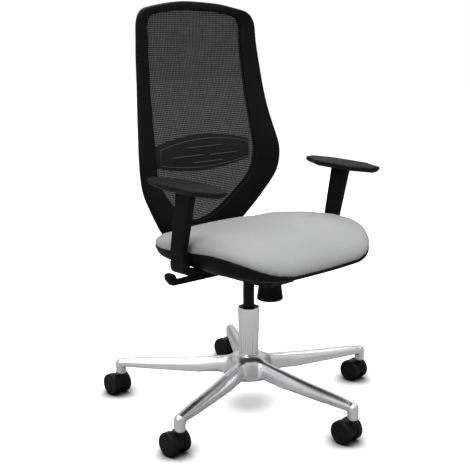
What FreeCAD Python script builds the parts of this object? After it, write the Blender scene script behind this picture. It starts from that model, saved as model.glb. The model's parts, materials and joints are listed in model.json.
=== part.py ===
"""Mesh-back task chair on a five-star base, in millimetres.

The origin is on the floor under the column's axis, +Z is up and the sitter faces -Y, so the sitter's
right hand is on the -X side.
"""
import FreeCAD, Part
import math
import os
import re
import Sketcher
from FreeCAD import Placement, Rotation, Vector

# ---------------------------------------------------------------- driving dimensions
SIZES = {
    # star base: one leg points straight forward
    "leg_count": 5,
    "leg_reach": 331,
    "leg_bottom": 78,
    "leg_foot_half": 20,
    "leg_shoulder": 98,
    "leg_shoulder_half": 16,
    "tip_foot_half": 12.4,
    "tip_shoulder": 89,
    "tip_shoulder_half": 12,
    "crest_half": 11.6,
    "crest_rise": 7,
    "leg_start": 24,
    "leg_root": 62,
    "leg_middle": 155,
    "leg_outer": 256,
    "leg_tip_setback": 5,
    "crest_start": 127,
    "crest_root": 122.5,
    "crest_middle": 111.5,
    "crest_outer": 104.5,
    "crest_tip": 97.6,
    "leg_wall": 4.5,
    "hub_bottom": 74,
    "hub_foot_radius": 62,
    "hub_waist_radius": 55,
    "hub_edge_radius": 47,
    "hub_edge_drop": 7,
    "hub_top_radius": 36,
    "hub_top": 131,
    "socket_bottom": 57,
    "socket_radius": 13,
    # castors
    "wheel_radius": 27.5,
    "castor_trail": 17,
    "castor_width": 51,
    "wheel_rounding": 3.5,
    "wheel_rim": 6,
    "wheel_hub_radius": 8,
    "wheel_disc": 5,
    "hood_width": 16,
    "hood_gap": 0.8,
    "hood_inset": 2.5,
    "stem_radius": 5.5,
    "stem_grip": 25,
    "stem_seat": 22,
    "axle_radius": 3,
    "axle_end_play": 0.4,
    "running_play": 0.05,
    "face_play": 0.4,
    # column and gas lift
    "sleeve_foot": 72,
    "sleeve_foot_radius": 22.5,
    "sleeve_top": 250.7,
    "sleeve_top_radius": 27,
    "sleeve_wall": 2,
    "sleeve_floor": 4,
    "bush_length": 62,
    "bush_sink": 1.2,
    "gas_radius": 14,
    "gas_wall": 3.5,
    "gas_bottom": 148,
    "gas_gland": 12,
    "gas_head": 10,
    "rod_radius": 5,
    "piston_height": 14,
    "piston_above_gland": 66,
    "bearing_radius": 13,
    "bearing_height": 7,
    "clip_radius": 9,
    "clip_height": 2,
    "valve_pin_radius": 3.5,
    "valve_pin_proud": 4.7,
    "valve_pin_length": 9,
    # tilt housing
    "housing_half_width": 46,
    "housing_wall": 4,
    "housing_front": -112,
    "housing_rear": 62,
    "housing_bottom": 328,
    "housing_front_top": 366,
    "housing_rear_top": 360,
    "boss_radius": 20,
    "boss_top": 342,
    "cone_drop": 0.5,
    "seat_pivot_back": -96,
    "seat_pivot_up": 350,
    "seat_pin_radius": 5,
    "back_pivot_back": 40,
    "back_pivot_up": 346,
    "back_pin_radius": 6,
    "side_play": 1.5,
    "ear_thickness": 4,
    "ear_half_length": 12,
    # tension knob and spring
    "knob_forward": -72,
    "knob_bottom": 285,
    "knob_top": 324,
    "knob_bottom_radius": 31.5,
    "knob_top_radius": 27.3,
    "knob_rounding": 4,
    "flute_count": 24,
    "flute_radius": 2.2,
    "screw_radius": 4,
    "spring_radius": 9.5,
    "spring_wire": 1.6,
    "spring_pitch": 4.6,
    "spring_bottom": 334,
    "spring_top": 357,
    # height lever
    "lever_pivot": -34,
    "lever_pivot_up": 350,
    "lever_pin_radius": 3,
    "lever_tongue_end": 6,
    "lever_tongue_bottom": 347,
    "lever_bottom": 350,
    "lever_top": 360,
    "lever_width": 20,
    "lever_reach": 232,
    "paddle_reach": 251,
    "paddle_top": 378,
    "lever_lug": 5,
    # seat
    "plate_top": 384,
    "plate_thickness": 4,
    "plate_half_width": 85,
    "plate_front": -112,
    "plate_rear": 100,
    "plate_corner": 18,
    "seat_half_width": 243,
    "seat_front": -258,
    "seat_rear": 148,
    "seat_front_corner": 122,
    "seat_rear_corner": 130,
    "shell_inset": 5,
    "shell_wall": 3.5,
    "shell_floor_half": 168,
    "board_thickness": 12,
    "board_half_width": 158,
    "board_front": -178,
    "board_rear": 92,
    "board_corner": 60,
    "soft_gap": 0.4,
    "seat_bolt_side": 70,
    "seat_bolt_front": -72,
    "seat_bolt_rear": 72,
    "bolt_radius": 4,
    "bolt_head_radius": 7,
    "bolt_head_height": 4.5,
    # arms
    "arm_centre": 259,
    "arm_thickness": 18,
    "arm_foot_width": 45,
    "arm_foot_back": -46.5,
    "arm_knee": 445,
    "arm_knee_width": 42,
    "arm_knee_back": -44,
    "arm_top": 578,
    "arm_top_width": 51,
    "arm_top_back": -71,
    "strap_inner": 95,
    "strap_thickness": 7,
    "strap_bend": 166,
    "strap_lift": 389.5,
    "strap_elbow": 19,
    "arm_bolt_inner": 115,
    "arm_bolt_outer": 147,
    "arm_edge_radius": 4,
    "pad_belly": 6,
    "pad_belly_slope": 9,
    "pad_edge": 6,
    "pad_crown": 4,
    "pad_crown_slope": 8,
    "pad_front": -185,
    "pad_rear": 42,
    "pad_half_width": 40,
    "pad_end_half_width": 15,
    "pad_end_length": 66,
    "pad_rear_skew": 5,
    "pad_tip_radius": 13.5,
    "pad_waist_radius": 40,
    # back
    "back_top": 985,
    "back_bottom": 391,
    "back_half_width": 233,
    "opening_half_width": 166.5,
    "frame_depth": 13.5,
    "mesh_thickness": 1.6,
    "mesh_inset": 3,
    "mesh_tuck": 2,
    "mesh_hollow": 5,
    "lumbar_half_width": 158,
    "lumbar_middle": 617,
    "lumbar_end_half": 24,
    "lumbar_rise": 46,
    "lumbar_fall": 44,
    "lumbar_gap": 8.5,
    "lumbar_thickness": 9,
    "lumbar_ear_reach": 186,
    "carrier_plate_back": 199,
    "carrier_plate_thickness": 8,
    "carrier_plate_half": 62,
    "carrier_plate_top": 434,
    "carrier_arm": 6,
    "carrier_gap_rear": 76,
    "carrier_ear_radius": 12,
    "back_bolt_side": 40,
    "back_bolt_low": 403,
    "back_bolt_high": 421,
}

doc = FreeCAD.newDocument("task_chair")
sheet = doc.addObject("Spreadsheet::Sheet", "Sizes")
for row, (alias, amount) in enumerate(SIZES.items(), start=1):
    sheet.set("A%d" % row, alias)
    sheet.set("B%d" % row, str(amount))
    sheet.setAlias("B%d" % row, alias)
doc.recompute()
NODES = []


# ---------------------------------------------------------------- helpers
def bound(text):
    """An expression with each size's name pointing into the sheet."""
    return re.sub(r"[a-z_]+", lambda m: "Sizes." + m.group() if m.group() in SIZES else m.group(), text)


def number(text):
    return float(sheet.evalExpression(bound(text)))


def keep(item, label):
    """Names a finished sub-part, which is also its file's name."""
    item.Label = label
    NODES.append(item)
    return item


def body(label):
    return keep(doc.addObject("PartDesign::Body", label), label)


def origin_feature(owner, role):
    return next(item for item in owner.Origin.OriginFeatures if item.Role == role)


def sketch(owner, plane, offset="0"):
    item = owner.newObject("Sketcher::SketchObject", "Sketch")
    item.AttachmentSupport = [(origin_feature(owner, plane), "")]
    item.MapMode = "FlatFace"
    item.setExpression("AttachmentOffset.Base.z", bound(offset))
    return item


def outline(item, corners, arcs=None):
    """Closes the corners into an outline, each corner bound to the sheet.

    arcs gives the edges that are arcs: edge number to its radius, which is negative when the arc is hollow.
    """
    arcs = arcs or {}
    count = len(corners)
    places = [(number(across), number(up)) for across, up in corners]
    ends = {}
    for edge in range(count):
        start = Vector(*places[edge], 0)
        end = Vector(*places[(edge + 1) % count], 0)
        ends[edge] = (1, 2)
        if edge in arcs:
            radius = number(arcs[edge].lstrip("-"))
            hollow = arcs[edge].startswith("-")
            chord = end - start
            depth = radius - math.sqrt(max(radius ** 2 - chord.Length ** 2 / 4, 0))
            side = Vector(chord.y, -chord.x, 0).normalize() * (-depth if hollow else depth)
            middle = (start + end) * 0.5 + side
            if hollow:
                item.addGeometry(Part.Arc(end, middle, start), False)
                ends[edge] = (2, 1)
            else:
                item.addGeometry(Part.Arc(start, middle, end), False)
        else:
            item.addGeometry(Part.LineSegment(start, end), False)
    for edge in range(count):
        after = (edge + 1) % count
        item.addConstraint(Sketcher.Constraint("Coincident", edge, ends[edge][1], after, ends[after][0]))
    for edge, (across, up) in enumerate(corners):
        for kind, text, place in (("DistanceX", across, places[edge][0]),
                                  ("DistanceY", up, places[edge][1])):
            index = item.addConstraint(Sketcher.Constraint(kind, -1, 1, edge, ends[edge][0], place))
            item.setExpression("Constraints[%d]" % index, bound(text))
        if edge in arcs:
            text = arcs[edge].lstrip("-")
            index = item.addConstraint(Sketcher.Constraint("Radius", edge, number(text)))
            item.setExpression("Constraints[%d]" % index, bound(text))
    return item


def circle(item, across, up, radius):
    item.addGeometry(Part.Circle(Vector(number(across), number(up), 0), Vector(0, 0, 1), number(radius)),
                     False)
    edge = item.GeometryCount - 1
    for kind, text in (("DistanceX", across), ("DistanceY", up)):
        index = item.addConstraint(Sketcher.Constraint(kind, -1, 1, edge, 3, number(text)))
        item.setExpression("Constraints[%d]" % index, bound(text))
    index = item.addConstraint(Sketcher.Constraint("Radius", edge, number(radius)))
    item.setExpression("Constraints[%d]" % index, bound(radius))
    return item


def extrude(owner, profile, length, cut=False):
    """Pads along the sketch's normal, or cuts against it."""
    feature = owner.newObject("PartDesign::Pocket" if cut else "PartDesign::Pad", "Cut" if cut else "Pad")
    feature.Profile = profile
    feature.setExpression("Length", bound(length))
    return feature


def turn(owner, corners, arcs=None, cut=False, axis_at=None):
    """Turns an outline of (radius, height) corners about Z, or about the upright line at axis_at."""
    profile = sketch(owner, "XZ_Plane")
    outline(profile, corners, arcs)
    axis = "V_Axis"
    if axis_at:
        across = number(axis_at)
        profile.addGeometry(Part.LineSegment(Vector(across, 0, 0), Vector(across, 40, 0)), True)
        line = len(corners)
        for kind, point, text in (("DistanceX", 1, axis_at), ("DistanceY", 1, "0"),
                                  ("DistanceX", 2, axis_at), ("DistanceY", 2, "40")):
            index = profile.addConstraint(Sketcher.Constraint(kind, -1, 1, line, point, number(text)))
            profile.setExpression("Constraints[%d]" % index, bound(text))
        axis = "Axis0"
    feature = owner.newObject("PartDesign::Groove" if cut else "PartDesign::Revolution", "Turned")
    feature.Profile = profile
    feature.ReferenceAxis = (profile, [axis])
    feature.Angle = 360
    return feature


def slab(owner, plane, start, length, corners, arcs=None):
    return extrude(owner, outline(sketch(owner, plane, start), corners, arcs), length)


def hole(owner, plane, start, length, across, up, radius):
    return extrude(owner, circle(sketch(owner, plane, start), across, up, radius), length, cut=True)


def rounded_rectangle(left, right, low, high, radius):
    inner_left, inner_right = "%s + %s" % (left, radius), "%s - %s" % (right, radius)
    inner_low, inner_high = "%s + %s" % (low, radius), "%s - %s" % (high, radius)
    corners = [(inner_left, low), (inner_right, low), (right, inner_low), (right, inner_high),
               (inner_right, high), (inner_left, high), (left, inner_high), (left, inner_low)]
    return corners, {1: radius, 3: radius, 5: radius, 7: radius}


def soften(owner, radius, wanted):
    """Rounds the edges of the body so far that wanted(edge) picks."""
    doc.recompute()
    base = owner.Tip
    names = ["Edge%d" % (n + 1) for n, edge in enumerate(base.Shape.Edges) if wanted(edge)]
    feature = owner.newObject("PartDesign::Fillet", "Rounded")
    feature.Base = (base, names)
    feature.setExpression("Radius", bound(radius))
    return feature


def upright(edge):
    """A straight edge that runs along Z."""
    direction = edge.Vertexes[-1].Point - edge.Vertexes[0].Point
    return len(edge.Vertexes) == 2 and abs(direction.z) > 0.99 * direction.Length


def level(edge):
    """An edge that stays at one height."""
    return edge.BoundBox.ZLength < 0.01


def cylinder(label, radius, low, high, at=("0", "0"), along="z"):
    """A plain round bar along z, or along x when its place is (back, up)."""
    item = doc.addObject("Part::Cylinder", "Bar")
    item.setExpression("Radius", bound(radius))
    item.setExpression("Height", bound("(%s) - (%s)" % (high, low)))
    if along == "z":
        places = {"x": at[0], "y": at[1], "z": low}
    else:
        item.Placement = Placement(Vector(), Rotation(Vector(0, 1, 0), 90))
        places = {"x": low, "y": at[0], "z": at[1]}
    for name, text in places.items():
        item.setExpression("Placement.Base." + name, bound(text))
    return keep(item, label) if label else item


def shape_part(label, shape):
    """A free-form sub-part, whose shape is worked out from the sheet."""
    item = doc.addObject("Part::Feature", label)
    item.Shape = shape
    return keep(item, label)


def between(rows, place):
    """Straight-line reading of a table of (place, value) rows in rising order."""
    if place <= rows[0][0]:
        return rows[0][1]
    for (low, first), (high, second) in zip(rows, rows[1:]):
        if place <= high:
            return first + (second - first) * (place - low) / (high - low)
    return rows[-1][1]


# ---------------------------------------------------------------- star base and castors
def sleeve_radius(height, inset="0"):
    """The sleeve's outside radius at a height, less an inset."""
    return ("sleeve_foot_radius + (sleeve_top_radius - sleeve_foot_radius) * (%s - sleeve_foot)"
            " / (sleeve_top - sleeve_foot) - %s" % (height, inset))


def leg_section(owner, station, crest, share, wall=None):
    """One cross-section of a leg; share runs from 0 at the hub to 1 at the tip."""
    foot = "(leg_foot_half + (tip_foot_half - leg_foot_half) * %g)" % share
    side = "(leg_shoulder_half + (tip_shoulder_half - leg_shoulder_half) * %g)" % share
    shoulder = "(leg_shoulder + (tip_shoulder - leg_shoulder) * %g)" % share
    item = sketch(owner, "YZ_Plane", station)
    if wall:
        top = "%s - %s * 2" % (crest, wall)
        return outline(item, [("-(%s - %s)" % (foot, wall), "leg_bottom - 2"),
                              ("%s - %s" % (foot, wall), "leg_bottom - 2"),
                              ("%s - %s - 2" % (side, wall), top), ("-(%s - %s - 2)" % (side, wall), top)])
    rim = "%s - crest_rise" % crest
    return outline(item, [("-" + foot, "leg_bottom"), (foot, "leg_bottom"), (side, shoulder),
                          ("crest_half", rim),
                          ("-crest_half", rim), ("-" + side, shoulder)],
                   {3: "(crest_half * crest_half + crest_rise * crest_rise) / (2 * crest_rise)"})


def make_star_base():
    base = body("star_base")
    turn(base, [("0", "hub_bottom"), ("hub_foot_radius", "hub_bottom"),
                ("hub_waist_radius", "leg_shoulder"),
                ("hub_edge_radius", "hub_top - hub_edge_drop"), ("hub_top_radius", "hub_top"), ("0",
                                                                                                "hub_top")])
    stations = [("leg_start", "crest_start", 0), ("leg_root", "crest_root", 0),
                ("leg_middle", "crest_middle", 0.12),
                ("leg_outer", "crest_outer", 0.36), ("leg_reach - leg_tip_setback", "crest_tip", 1)]
    solid_sections = [leg_section(base, *station) for station in stations]
    leg = base.newObject("PartDesign::AdditiveLoft", "Leg")
    leg.Profile = solid_sections[0]
    leg.Sections = solid_sections[1:]
    hollow_stations = stations[1:4] + [("leg_reach - socket_radius * 2", "crest_tip", 0.8)]
    hollow_sections = [leg_section(base, *station, wall="leg_wall") for station in hollow_stations]
    channel = base.newObject("PartDesign::SubtractiveLoft", "Channel")
    channel.Profile = hollow_sections[0]
    channel.Sections = hollow_sections[1:]
    dome = "crest_tip - socket_radius"
    socket = turn(base, [("leg_reach", "socket_bottom"), ("leg_reach + socket_radius", "socket_bottom"),
                         ("leg_reach + socket_radius", dome), ("leg_reach", "crest_tip")],
                  {2: "socket_radius"}, axis_at="leg_reach")
    bore_end = "socket_bottom + stem_grip"
    bore = turn(base, [("leg_reach", "socket_bottom - 1"), ("leg_reach + stem_radius", "socket_bottom - 1"),
                       ("leg_reach + stem_radius", bore_end), ("leg_reach", bore_end)],
                cut=True, axis_at="leg_reach")
    legs = base.newObject("PartDesign::PolarPattern", "Legs")
    legs.Originals = [leg, channel, socket, bore]
    legs.Axis = (origin_feature(base, "Z_Axis"), [""])
    legs.Angle = 360
    legs.setExpression("Occurrences", bound("leg_count"))
    base.Tip = legs
    turn(base, [("0", "hub_bottom - 4"), (sleeve_radius("(hub_bottom - 4)"), "hub_bottom - 4"),
                (sleeve_radius("(hub_top + 4)"), "hub_top + 4"), ("0", "hub_top + 4")], cut=True)
    base.Placement = Placement(Vector(), Rotation(Vector(0, 0, 1), -90))


def stand_at(item, angle):
    """Moves a castor's piece from the column's axis to the stem at this angle."""
    item.setExpression("Placement.Base.x", bound("leg_reach * cos(%g deg)" % angle))
    item.setExpression("Placement.Base.y", bound("leg_reach * sin(%g deg)" % angle))


def make_hood(label, angle):
    hood = body(label)
    axle_up = "wheel_radius"
    reach = "(wheel_radius - hood_inset)"
    low = "wheel_radius - hood_inset * 3"
    half = "sqrt(%s * %s - hood_inset * 3 * hood_inset * 3)" % (reach, reach)
    corners = [("castor_trail - %s" % half, low), ("castor_trail + %s" % half, low),
               ("castor_trail + %s" % reach, axle_up), ("castor_trail", "wheel_radius + %s" % reach),
               ("castor_trail - %s" % reach, axle_up)]
    slab(hood, "YZ_Plane", "-hood_width / 2", "hood_width", corners,
         {1: reach, 2: reach, 3: reach, 4: reach})
    top = "socket_bottom - face_play"
    turn(hood, [("0", axle_up), ("hood_width / 2", axle_up), ("hood_width / 2", top), ("0", top)])
    bore = "stem_radius + running_play"
    floor = "socket_bottom - stem_seat - face_play"
    turn(hood, [("0", floor), (bore, floor), (bore, "socket_bottom + 2"), ("0", "socket_bottom + 2")],
         cut=True)
    hole(hood, "YZ_Plane", "hood_width", "hood_width * 2", "castor_trail", axle_up, "axle_radius")
    stand_at(hood, angle)


def make_wheel(label, angle, side):
    wheel = body(label)
    inner = "hood_width / 2 + hood_gap"
    outer = "castor_width / 2"
    bore = "axle_radius + running_play"
    bore_end = "(castor_width / 2 - wheel_disc + axle_end_play)"
    recess = "castor_width / 2 - wheel_disc - 1"
    turn(wheel, [("0", bore_end), (bore, bore_end), (bore, inner), ("wheel_hub_radius", inner),
                 ("wheel_hub_radius", recess), ("wheel_radius - wheel_rim", recess),
                 ("wheel_radius - wheel_rim", inner), ("wheel_radius - 0.8", inner), ("wheel_radius",
                                                                                      "%s + 0.8" % inner),
                 ("wheel_radius", "%s - wheel_rounding" % outer), ("wheel_radius - wheel_rounding", outer),
                 ("wheel_radius - wheel_rim - 1", outer), ("wheel_radius - wheel_rim - 2",
                                                           "%s - 0.8" % outer),
                 ("0", "%s - 0.8" % outer)], {9: "wheel_rounding"})
    wheel.Placement = Placement(Vector(), Rotation(Vector(0, 1, 0), 90 * side))
    wheel.setExpression("Placement.Base.x", bound("leg_reach * cos(%g deg)" % angle))
    wheel.setExpression("Placement.Base.y", bound("leg_reach * sin(%g deg) + castor_trail" % angle))
    wheel.setExpression("Placement.Base.z", bound("wheel_radius"))


def make_castors():
    count = int(number("leg_count"))
    for index in range(count):
        angle = -90 + index * 360 / count
        stem = cylinder("castor_stem_%d" % (index + 1), "stem_radius", "socket_bottom - stem_seat",
                        "socket_bottom + stem_grip")
        stand_at(stem, angle)
        make_hood("castor_hood_%d" % (index + 1), angle)
        half = "(castor_width / 2 - wheel_disc)"
        axle = cylinder("castor_axle_%d" % (index + 1), "axle_radius", "-" + half, half, along="x")
        axle.setExpression("Placement.Base.x", bound("leg_reach * cos(%g deg) - %s" % (angle, half)))
        axle.setExpression("Placement.Base.y", bound("leg_reach * sin(%g deg) + castor_trail" % angle))
        axle.setExpression("Placement.Base.z", bound("wheel_radius"))
        make_wheel("castor_wheel_%da" % (index + 1), angle, -1)
        make_wheel("castor_wheel_%db" % (index + 1), angle, 1)


# ---------------------------------------------------------------- column and gas lift
def make_column():
    sleeve = body("column_sleeve")
    rod_hole = "rod_radius + running_play"
    floor_top = "(sleeve_foot + sleeve_floor)"
    turn(sleeve, [(rod_hole, "sleeve_foot"), ("sleeve_foot_radius", "sleeve_foot"),
                  ("sleeve_top_radius", "sleeve_top"),
                  (sleeve_radius("sleeve_top", "sleeve_wall"), "sleeve_top"),
                  (sleeve_radius(floor_top, "sleeve_wall"), floor_top), (rod_hole, floor_top)])
    bush = body("guide_bush")
    high = "(sleeve_top - bush_sink)"
    low = "(sleeve_top - bush_sink - bush_length)"
    bore = "gas_radius + running_play"
    turn(bush, [(bore, low), (sleeve_radius(low, "sleeve_wall"), low),
                (sleeve_radius(high, "sleeve_wall"), high),
                (bore, high)])
    bearing_low = "sleeve_foot + sleeve_floor + face_play"
    bearing = body("thrust_bearing")
    turn(bearing, [("rod_radius", bearing_low), ("bearing_radius", bearing_low),
                   ("bearing_radius", bearing_low + " + bearing_height"), ("rod_radius",
                                                                           bearing_low + " + bearing_height")])
    piston_low = "gas_bottom + piston_above_gland + gas_gland"
    inner = "gas_radius - gas_wall"
    rod = body("piston_rod")
    turn(rod, [("0", "sleeve_foot - clip_height - 2"), ("rod_radius", "sleeve_foot - clip_height - 2"),
               ("rod_radius", piston_low), (inner + " - running_play", piston_low),
               (inner + " - running_play", piston_low + " + piston_height"), ("0",
                                                                              piston_low + " + piston_height")])
    clip = body("rod_clip")
    clip_top = "sleeve_foot - face_play"
    turn(clip, [("rod_radius", clip_top + " - clip_height"), ("clip_radius", clip_top + " - clip_height"),
                ("clip_radius", clip_top), ("rod_radius", clip_top)])


def make_gas_lift():
    gas = body("gas_cylinder")
    inner = "gas_radius - gas_wall"
    rod_hole = "rod_radius + running_play"
    pin_hole = "valve_pin_radius + running_play"
    cone_start = "housing_bottom"
    turn(gas, [(rod_hole, "gas_bottom"), ("gas_radius", "gas_bottom"), ("gas_radius", cone_start),
               ("gas_radius - cone_drop", "boss_top"), (pin_hole, "boss_top"), (pin_hole,
                                                                                "boss_top - gas_head"),
               (inner, "boss_top - gas_head"), (inner, "gas_bottom + gas_gland"), (rod_hole,
                                                                                   "gas_bottom + gas_gland")])
    cylinder("valve_pin", "valve_pin_radius", "boss_top + valve_pin_proud - valve_pin_length",
             "boss_top + valve_pin_proud")


# ---------------------------------------------------------------- tilt mechanism
def make_housing():
    housing = body("tilt_housing")
    slab(housing, "YZ_Plane", "-housing_half_width", "housing_half_width * 2",
         [("housing_front", "housing_bottom"), ("housing_rear", "housing_bottom"),
          ("housing_rear", "housing_rear_top"), ("housing_front", "housing_front_top")])
    soften(housing, "housing_wall * 2", upright)
    cavity = outline(sketch(housing, "YZ_Plane", "housing_half_width - housing_wall"),
                     [("housing_front + housing_wall", "housing_bottom + housing_wall"),
                      ("housing_rear - housing_wall", "housing_bottom + housing_wall"),
                      ("housing_rear - housing_wall", "housing_front_top + 2"),
                      ("housing_front + housing_wall", "housing_front_top + 2")])
    extrude(housing, cavity, "(housing_half_width - housing_wall) * 2", cut=True)
    turn(housing, [("0", "housing_bottom"), ("boss_radius", "housing_bottom"),
                   ("boss_radius", "boss_top"), ("0", "boss_top")])
    turn(housing, [("0", "housing_bottom - 1"), ("gas_radius", "housing_bottom - 1"),
                   ("gas_radius", "housing_bottom"),
                   ("gas_radius - cone_drop", "boss_top"), ("gas_radius - cone_drop",
                                                            "boss_top + 1"), ("0", "boss_top + 1")],
         cut=True)
    lug_left, lug_right = "lever_pivot - lever_pin_radius - 3.5", "lever_pivot + lever_pin_radius + 3.5"
    for front in ("-lever_lug - 1", "lever_width + 1"):
        slab(housing, "XY_Plane", "housing_bottom + 1",
             "lever_pivot_up + lever_pin_radius + 3.5 - housing_bottom - 1",
             [(lug_left, front), (lug_right, front), (lug_right, front + " + lever_lug"),
              (lug_left, front + " + lever_lug")])
    hole(housing, "XZ_Plane", "lever_lug + 2", "lever_width + lever_lug * 2 + 4", "lever_pivot",
         "lever_pivot_up",
         "lever_pin_radius + running_play")
    across = "housing_half_width * 2 + 2"
    hole(housing, "YZ_Plane", "housing_half_width + 1", across, "seat_pivot_back", "seat_pivot_up",
         "seat_pin_radius")
    hole(housing, "YZ_Plane", "housing_half_width + 1", across, "back_pivot_back", "back_pivot_up",
         "back_pin_radius")
    slot = outline(sketch(housing, "YZ_Plane", "lever_pivot - lever_pin_radius - 4"),
                   [("-2", "lever_bottom - 5"), ("lever_width + 2", "lever_bottom - 5"),
                    ("lever_width + 2", "housing_front_top"), ("-2", "housing_front_top")])
    extrude(housing, slot, "housing_half_width + lever_pivot - lever_pin_radius - 3", cut=True)
    hole(housing, "XY_Plane", "housing_bottom + housing_wall + 1", "housing_wall + 2", "0", "knob_forward",
         "screw_radius + running_play * 2")


def make_pivots():
    half = "housing_half_width + side_play + ear_thickness + 1.5"
    cylinder("seat_pivot_pin", "seat_pin_radius", "-(%s)" % half, half,
             ("seat_pivot_back", "seat_pivot_up"), "x")
    half = "housing_half_width + side_play + carrier_arm + 1.5"
    cylinder("back_pivot_shaft", "back_pin_radius", "-(%s)" % half, half,
             ("back_pivot_back", "back_pivot_up"), "x")


def make_knob():
    knob = body("tension_knob")
    turn(knob, [("0", "knob_bottom"), ("knob_bottom_radius - knob_rounding", "knob_bottom"),
                ("knob_bottom_radius", "knob_bottom + knob_rounding"), ("knob_top_radius", "knob_top - 2"),
                ("knob_top_radius - 2", "knob_top"), ("screw_radius", "knob_top"), ("screw_radius",
                                                                                    "spring_top"),
                ("0", "spring_top")], {1: "knob_rounding"})
    middle = "(knob_bottom_radius + knob_top_radius) / 2"
    flute = circle(sketch(knob, "XY_Plane", "knob_top - 5"), middle + " + flute_radius * 0.5", "0",
                   "flute_radius")
    cut = extrude(knob, flute, "knob_top - knob_bottom - 12", cut=True)
    flutes = knob.newObject("PartDesign::PolarPattern", "Flutes")
    flutes.Originals = [cut]
    flutes.Axis = (origin_feature(knob, "Z_Axis"), [""])
    flutes.Angle = 360
    flutes.setExpression("Occurrences", bound("flute_count"))
    knob.Tip = flutes
    knob.setExpression("Placement.Base.y", bound("knob_forward"))


def make_spring():
    wire = number("spring_wire")
    radius = number("spring_radius")
    height = number("spring_top - spring_bottom - 2 * spring_wire")
    path = Part.Wire(Part.makeHelix(number("spring_pitch"), height, radius).Edges)
    section = Part.Wire(Part.Circle(Vector(radius, 0, 0), Vector(0, 1, 0), wire).toShape())
    coil = path.makePipeShell([section], True, True)
    coil.translate(Vector(0, number("knob_forward"), number("spring_bottom") + wire))
    shape_part("tension_spring", coil)


def make_lever():
    lever = body("height_lever")
    corners = [("lever_tongue_end", "lever_tongue_bottom + 5"), ("lever_pivot", "lever_top - 2"),
               ("lever_pivot - 14", "lever_top"), ("-lever_reach + 14", "lever_top"), ("-lever_reach + 5",
                                                                                       "lever_top + 5"),
               ("-lever_reach", "paddle_top - 3"), ("-lever_reach - 5",
                                                    "paddle_top"), ("-paddle_reach + 3", "paddle_top"),
               ("-paddle_reach", "paddle_top - 4"), ("-paddle_reach + 1", "lever_bottom + 14"),
               ("-lever_reach - 6", "lever_bottom"),
               ("lever_pivot", "lever_bottom - 4"), ("lever_tongue_end", "lever_tongue_bottom")]
    slab(lever, "XZ_Plane", "-lever_width", "lever_width", corners)
    soften(lever, "lever_pin_radius * 0.8", lambda edge: edge.CenterOfMass.x < number("lever_pivot") - 20
           and abs(edge.Vertexes[-1].Point.y - edge.Vertexes[0].Point.y) < 1)
    pin = circle(sketch(lever, "XZ_Plane", "-lever_width - lever_lug"), "lever_pivot", "lever_pivot_up",
                 "lever_pin_radius")
    extrude(lever, pin, "lever_width + lever_lug * 2")


def make_carrier():
    carrier = body("back_carrier")
    arm_half = "(housing_half_width + side_play + carrier_arm)"
    up, back, ring = "back_pivot_up", "back_pivot_back", "carrier_ear_radius"
    plate_front, plate_rear = "carrier_plate_back", "(carrier_plate_back + carrier_plate_thickness)"
    profile = [("%s - %s" % (back, ring), up), (back, "%s - %s" % (up, ring)),
               ("carrier_gap_rear", "%s - %s" % (up, ring)),
               ("carrier_plate_back - 50", up), ("carrier_plate_back - 4", "%s + 22" % up), (plate_rear,
                                                                                             "%s + 46" % up),
               (plate_rear, "carrier_plate_top"), (plate_front, "carrier_plate_top"), (plate_front,
                                                                                       "%s + 49" % up),
               ("carrier_plate_back - 13", "%s + 32" % up), ("carrier_plate_back - 52", "%s + 12" % up),
               (back, "%s + %s" % (up, ring))]
    slab(carrier, "YZ_Plane", "-" + arm_half, arm_half + " * 2", profile, {0: ring, 11: ring})
    gap = "(housing_half_width + side_play)"
    front = "(%s - %s - 2)" % (back, ring)
    cutter = outline(sketch(carrier, "YZ_Plane", gap), [(front, "housing_bottom - 10"),
                                                        ("carrier_gap_rear", "housing_bottom - 10"),
                                                       ("carrier_gap_rear",
                                                        "housing_rear_top + 10"), (front,
                                                                                   "housing_rear_top + 10")])
    extrude(carrier, cutter, gap + " * 2", cut=True)
    slab(carrier, "YZ_Plane", "-carrier_plate_half", "carrier_plate_half * 2",
         [(plate_front, "%s + 44" % up), (plate_rear, "%s + 44" % up), (plate_rear, "carrier_plate_top"),
          (plate_front, "carrier_plate_top")])
    hole(carrier, "YZ_Plane", arm_half + " + 1", arm_half + " * 2 + 2", back, up,
         "back_pin_radius + running_play")
    for side in ("-back_bolt_side", "back_bolt_side"):
        for height in ("back_bolt_low", "back_bolt_high"):
            hole(carrier, "XZ_Plane", "-%s + 2" % plate_front, "carrier_plate_thickness + 4", side,
                 height, "bolt_radius")


def bolt_group(label, places, head, tip, direction):
    """Identical bolts: places are two coordinates each, head and tip the third, along direction."""
    bars = []
    for first, second in places:
        start, end = number(head), number(tip)
        way = 1 if end > start else -1
        spots = {"x": (0, number(first), number(second)), "y": (number(first), 0, number(second)),
                 "z": (number(first), number(second), 0)}
        axis = {"x": Vector(1, 0, 0), "y": Vector(0, 1, 0), "z": Vector(0, 0, 1)}[direction]
        foot = Vector(*spots[direction]) + axis * start
        shank = Part.makeCylinder(number("bolt_radius"), abs(end - start), foot, axis * way)
        cap = Part.makeCylinder(number("bolt_head_radius"), number("bolt_head_height"),
                                foot - axis * way * number("bolt_head_height"), axis * way)
        bars.append(shank.fuse(cap).removeSplitter())
    shape_part(label, Part.makeCompound(bars))


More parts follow.
